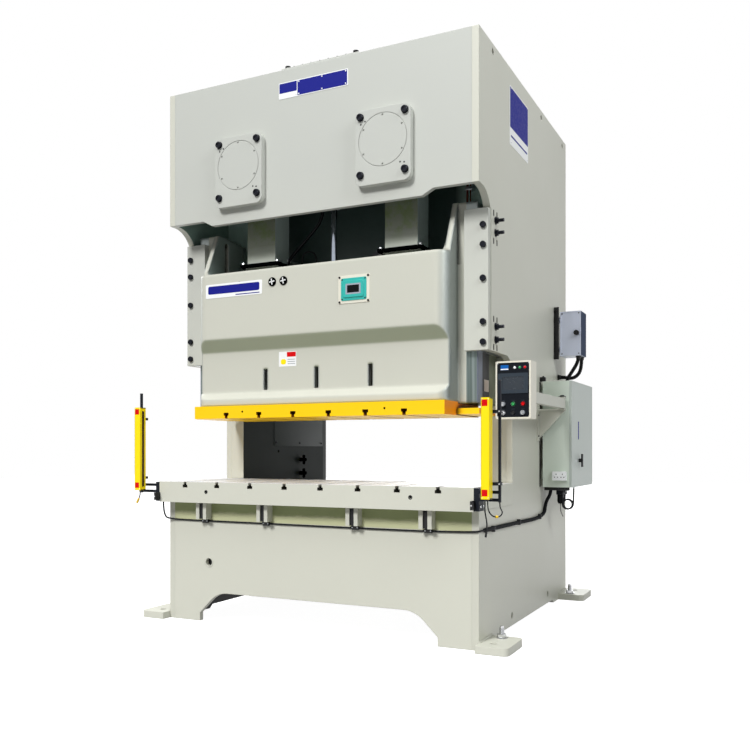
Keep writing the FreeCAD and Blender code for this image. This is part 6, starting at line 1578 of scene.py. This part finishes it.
def rear_details():
    """A louvred access door, a plain plate, plugs, a sight gauge and an oil line."""
    mesh = bmesh.new()
    door = Vector((0.62, REAR, 3.3))
    add_plate(mesh, "rear", door, (0.8, 0.74), 0.003, 0, 0.012, 0.001)
    proud = door + BACK * 0.003
    for row, across in product(range(9), (-0.17, 0.17)):
        base = on_face("rear", proud + RIGHT * across + UP * (0.2 - 0.05 * row))
        skin(mesh, [[base @ Vector(corner) for corner in ring] for ring in LOUVRE])
    screws = list(product((-0.37, 0.0, 0.37), (-0.34, 0.34)))
    for u, v in screws + [(-0.37, -0.17), (0.37, -0.17), (-0.37, 0.17), (0.37, 0.17)]:
        add_hex_bolt(mesh, proud + RIGHT * u + UP * v, BACK, 0.01, 0.008, True, 1)
    piece("rear_access_door", mesh, ["paint", "bolt"])

    mesh = bmesh.new()
    plate = Vector((-0.95, REAR, 2.35))
    add_plates(mesh, "rear", plate, (0, 0, 0.34, 0.24, 0.002, 0, 0.006))
    add_plates(mesh, "rear", plate + BACK * 0.002,
               (0, 0, 0.31, 0.21, 0.0006, 1, 0.004, 0.0002))
    add_plates(mesh, "rear", plate + BACK * 0.0026,
               *[(0, 0.075 - row * 0.037, 0.27, 0.014, 0.0004, 0, 0.002, 0.0001)
                 for row in range(5)])
    for place in spots("rear", plate + BACK * 0.002, (0.155, -0.155), (-0.105, 0.105)):
        add_dome(mesh, "rear", place, 0.004, 0.002, 2)
    piece("rear_rating_plate", mesh, ["label", "grey", "bright"])

    mesh = bmesh.new()
    for x, z in ((-1.02, 0.62), (1.02, 0.62), (-1.02, 0.36), (1.02, 0.36)):
        add_disc(mesh, "rear", (x, REAR, z), [(0.014, 0), (0.014, 0.003), (0.01, 0.005)], 20)
    gauge = Vector((0.95, REAR, 2.45))
    add_block(mesh, gauge - Vector((0.02, 0, 0.09)), gauge + Vector((0.02, 0.022, 0.09)),
              0.004, 1)
    add_block(mesh, gauge + Vector((-0.008, 0.02, -0.062)),
              gauge + Vector((0.008, 0.024, 0.062)), 0.002, 2)
    for v in (-0.076, 0.076):
        add_hex_bolt(mesh, gauge + BACK * 0.022 + UP * v, BACK, 0.01, 0.006, False, 1)
    piece("rear_plugs_and_gauge", mesh, ["bolt", "zinc", "glass"])
    line_y = REAR + 0.009
    soft_line("rear_oil_line", [(0.95, line_y, 2.36), (0.95, line_y, 2.2),
                                (0.98, line_y, 2.15), (1.15, line_y, 2.15),
                                (1.2, line_y, 2.19), (1.2, line_y, 4.02)], 0.006, "copper")
    mesh = bmesh.new()
    for z in (2.5, 3.0, 3.5, 3.95):
        add_block(mesh, (1.182, REAR, z - 0.009), (1.218, REAR + 0.018, z + 0.009), 0.003)
    piece("rear_line_clips", mesh, ["zinc"])


def weld_seams():
    """Beads inside the bed's arches, on the shelf and behind the columns."""
    mesh = bmesh.new()
    for side in (-1, 1):
        x, inwards = side * INNER_SIDE, (-side, 0, 0)
        seam(mesh, (x, REAR - 0.04, 2.14), (x, REAR - 0.04, 4.1), 0.012, inwards, FORWARD)
        seam(mesh, (x, -0.45, 0.945), (x, 1.2, 0.945), 0.011, inwards, UP)
        for y, out in ((FRONT + 0.04, BACK), (REAR - 0.04, FORWARD)):
            seam(mesh, (x, y, 0.1), (x, y, 0.8), 0.011, inwards, out)
    piece("frame_welds", mesh, ["paint"], angle=60)


# ---------------------------------------------------------------- putting it together

for build in (signs, cover_details, gib_heads, crown_top, side_slots, slide_details, counter,
              rod_flanges, crown_pipes, cylinder_details, bed_details, jack_threads,
              foot_details, throat_details, curtain_details, pendant_face, control_caps,
              cabinet_details, switch_box_details, air_preparation, bed_cables, conduits,
              dark_bores, belts, flywheel_details, rear_details, weld_seams):
    build()


# ---------------------------------------------------------------- stage, light, camera

AMBIENT = 0.1
FLOOR_GLOW = 0.98
FLOOR_HALF = 30


def area_lamp(name, place, target, size, watts, colour):
    data = bpy.data.lights.new(name, "AREA")
    data.shape = "RECTANGLE"
    data.size = data.size_y = size
    data.energy = watts
    data.color = colour
    lamp = into_scene(name, data)
    lamp.location = place
    lamp.rotation_euler = (Vector(target) - Vector(place)).to_track_quat("-Z", "Y").to_euler()


def lift_for_camera(tree, low, high, target):
    """Joins target to high for rays that should meet a plain white surrounding."""
    rays = tree.nodes.new("ShaderNodeLightPath")
    total = rays.outputs["Is Camera Ray"]
    for output in ("Is Glossy Ray", "Is Transmission Ray"):
        add = tree.nodes.new("ShaderNodeMath")
        add.operation = "ADD"
        add.use_clamp = True
        tree.links.new(total, add.inputs[0])
        tree.links.new(rays.outputs[output], add.inputs[1])
        total = add.outputs[0]
    strength = tree.nodes.new("ShaderNodeMapRange")
    tree.links.new(total, strength.inputs["Value"])
    strength.inputs["To Min"].default_value = low
    strength.inputs["To Max"].default_value = high
    tree.links.new(strength.outputs["Result"], target)


def build_world():
    world = bpy.data.worlds.new("studio")
    bpy.context.scene.world = world
    world.use_nodes = True
    background = world.node_tree.nodes["Background"]
    background.inputs["Color"].default_value = (1, 1, 1, 1)
    lift_for_camera(world.node_tree, AMBIENT, 1.0, background.inputs["Strength"])


def build_floor():
    mesh = bmesh.new()
    mesh.faces.new([mesh.verts.new((x * FLOOR_HALF, y * FLOOR_HALF, -0.001))
                    for x, y in ((-1, -1), (1, -1), (1, 1), (-1, 1))])
    data = bpy.data.meshes.new("floor")
    mesh.to_mesh(data)
    mesh.free()
    floor = into_scene("floor", data)
    look = Look("pale_floor")
    look.set(Base_Color=(0.35, 0.35, 0.35, 1), Roughness=0.9, Emission_Color=(1, 1, 1, 1))
    lift_for_camera(look.tree, 0.0, FLOOR_GLOW, look.shader.inputs["Emission Strength"])
    data.materials.append(look.material)


build_world()
build_floor()
key = bpy.data.lights.new("key", "SUN")
key.energy = 2.85
key.angle = 0.26
key.color = (0.99, 0.99, 1.0)
into_scene("key", key).rotation_euler = Vector((5.6, 24.0, -21.0)).to_track_quat(
    "-Z", "Y").to_euler()
area_lamp("side", (9.0, -3.5, 8.0), (1.3, 0, 2.4), 4.0, 500, (0.95, 0.98, 1.0))
area_lamp("rear", (-3.0, 15.0, 9.0), (0, 1, 2.0), 6.0, 1500, (0.97, 0.98, 1.0))
area_lamp("left", (-13.0, 3.0, 8.0), (-1.3, 0, 2.0), 5.0, 500, (0.97, 0.98, 1.0))
area_lamp("top", (0, -3.5, 9.5), (0, -1.2, 0), 6.0, 250, (0.95, 0.98, 1.0))

lens = bpy.data.cameras.new("camera")
lens.lens = 40.32
lens.sensor_width = 36
lens.shift_y = 0.1013
lens.clip_end = 200
camera = into_scene("camera", lens)
camera.location = (3.123, -6.533, 1.328)
camera.rotation_euler = (math.radians(90), 0, math.radians(26.05))
bpy.context.scene.camera = camera
bpy.context.scene.view_settings.view_transform = "Standard"
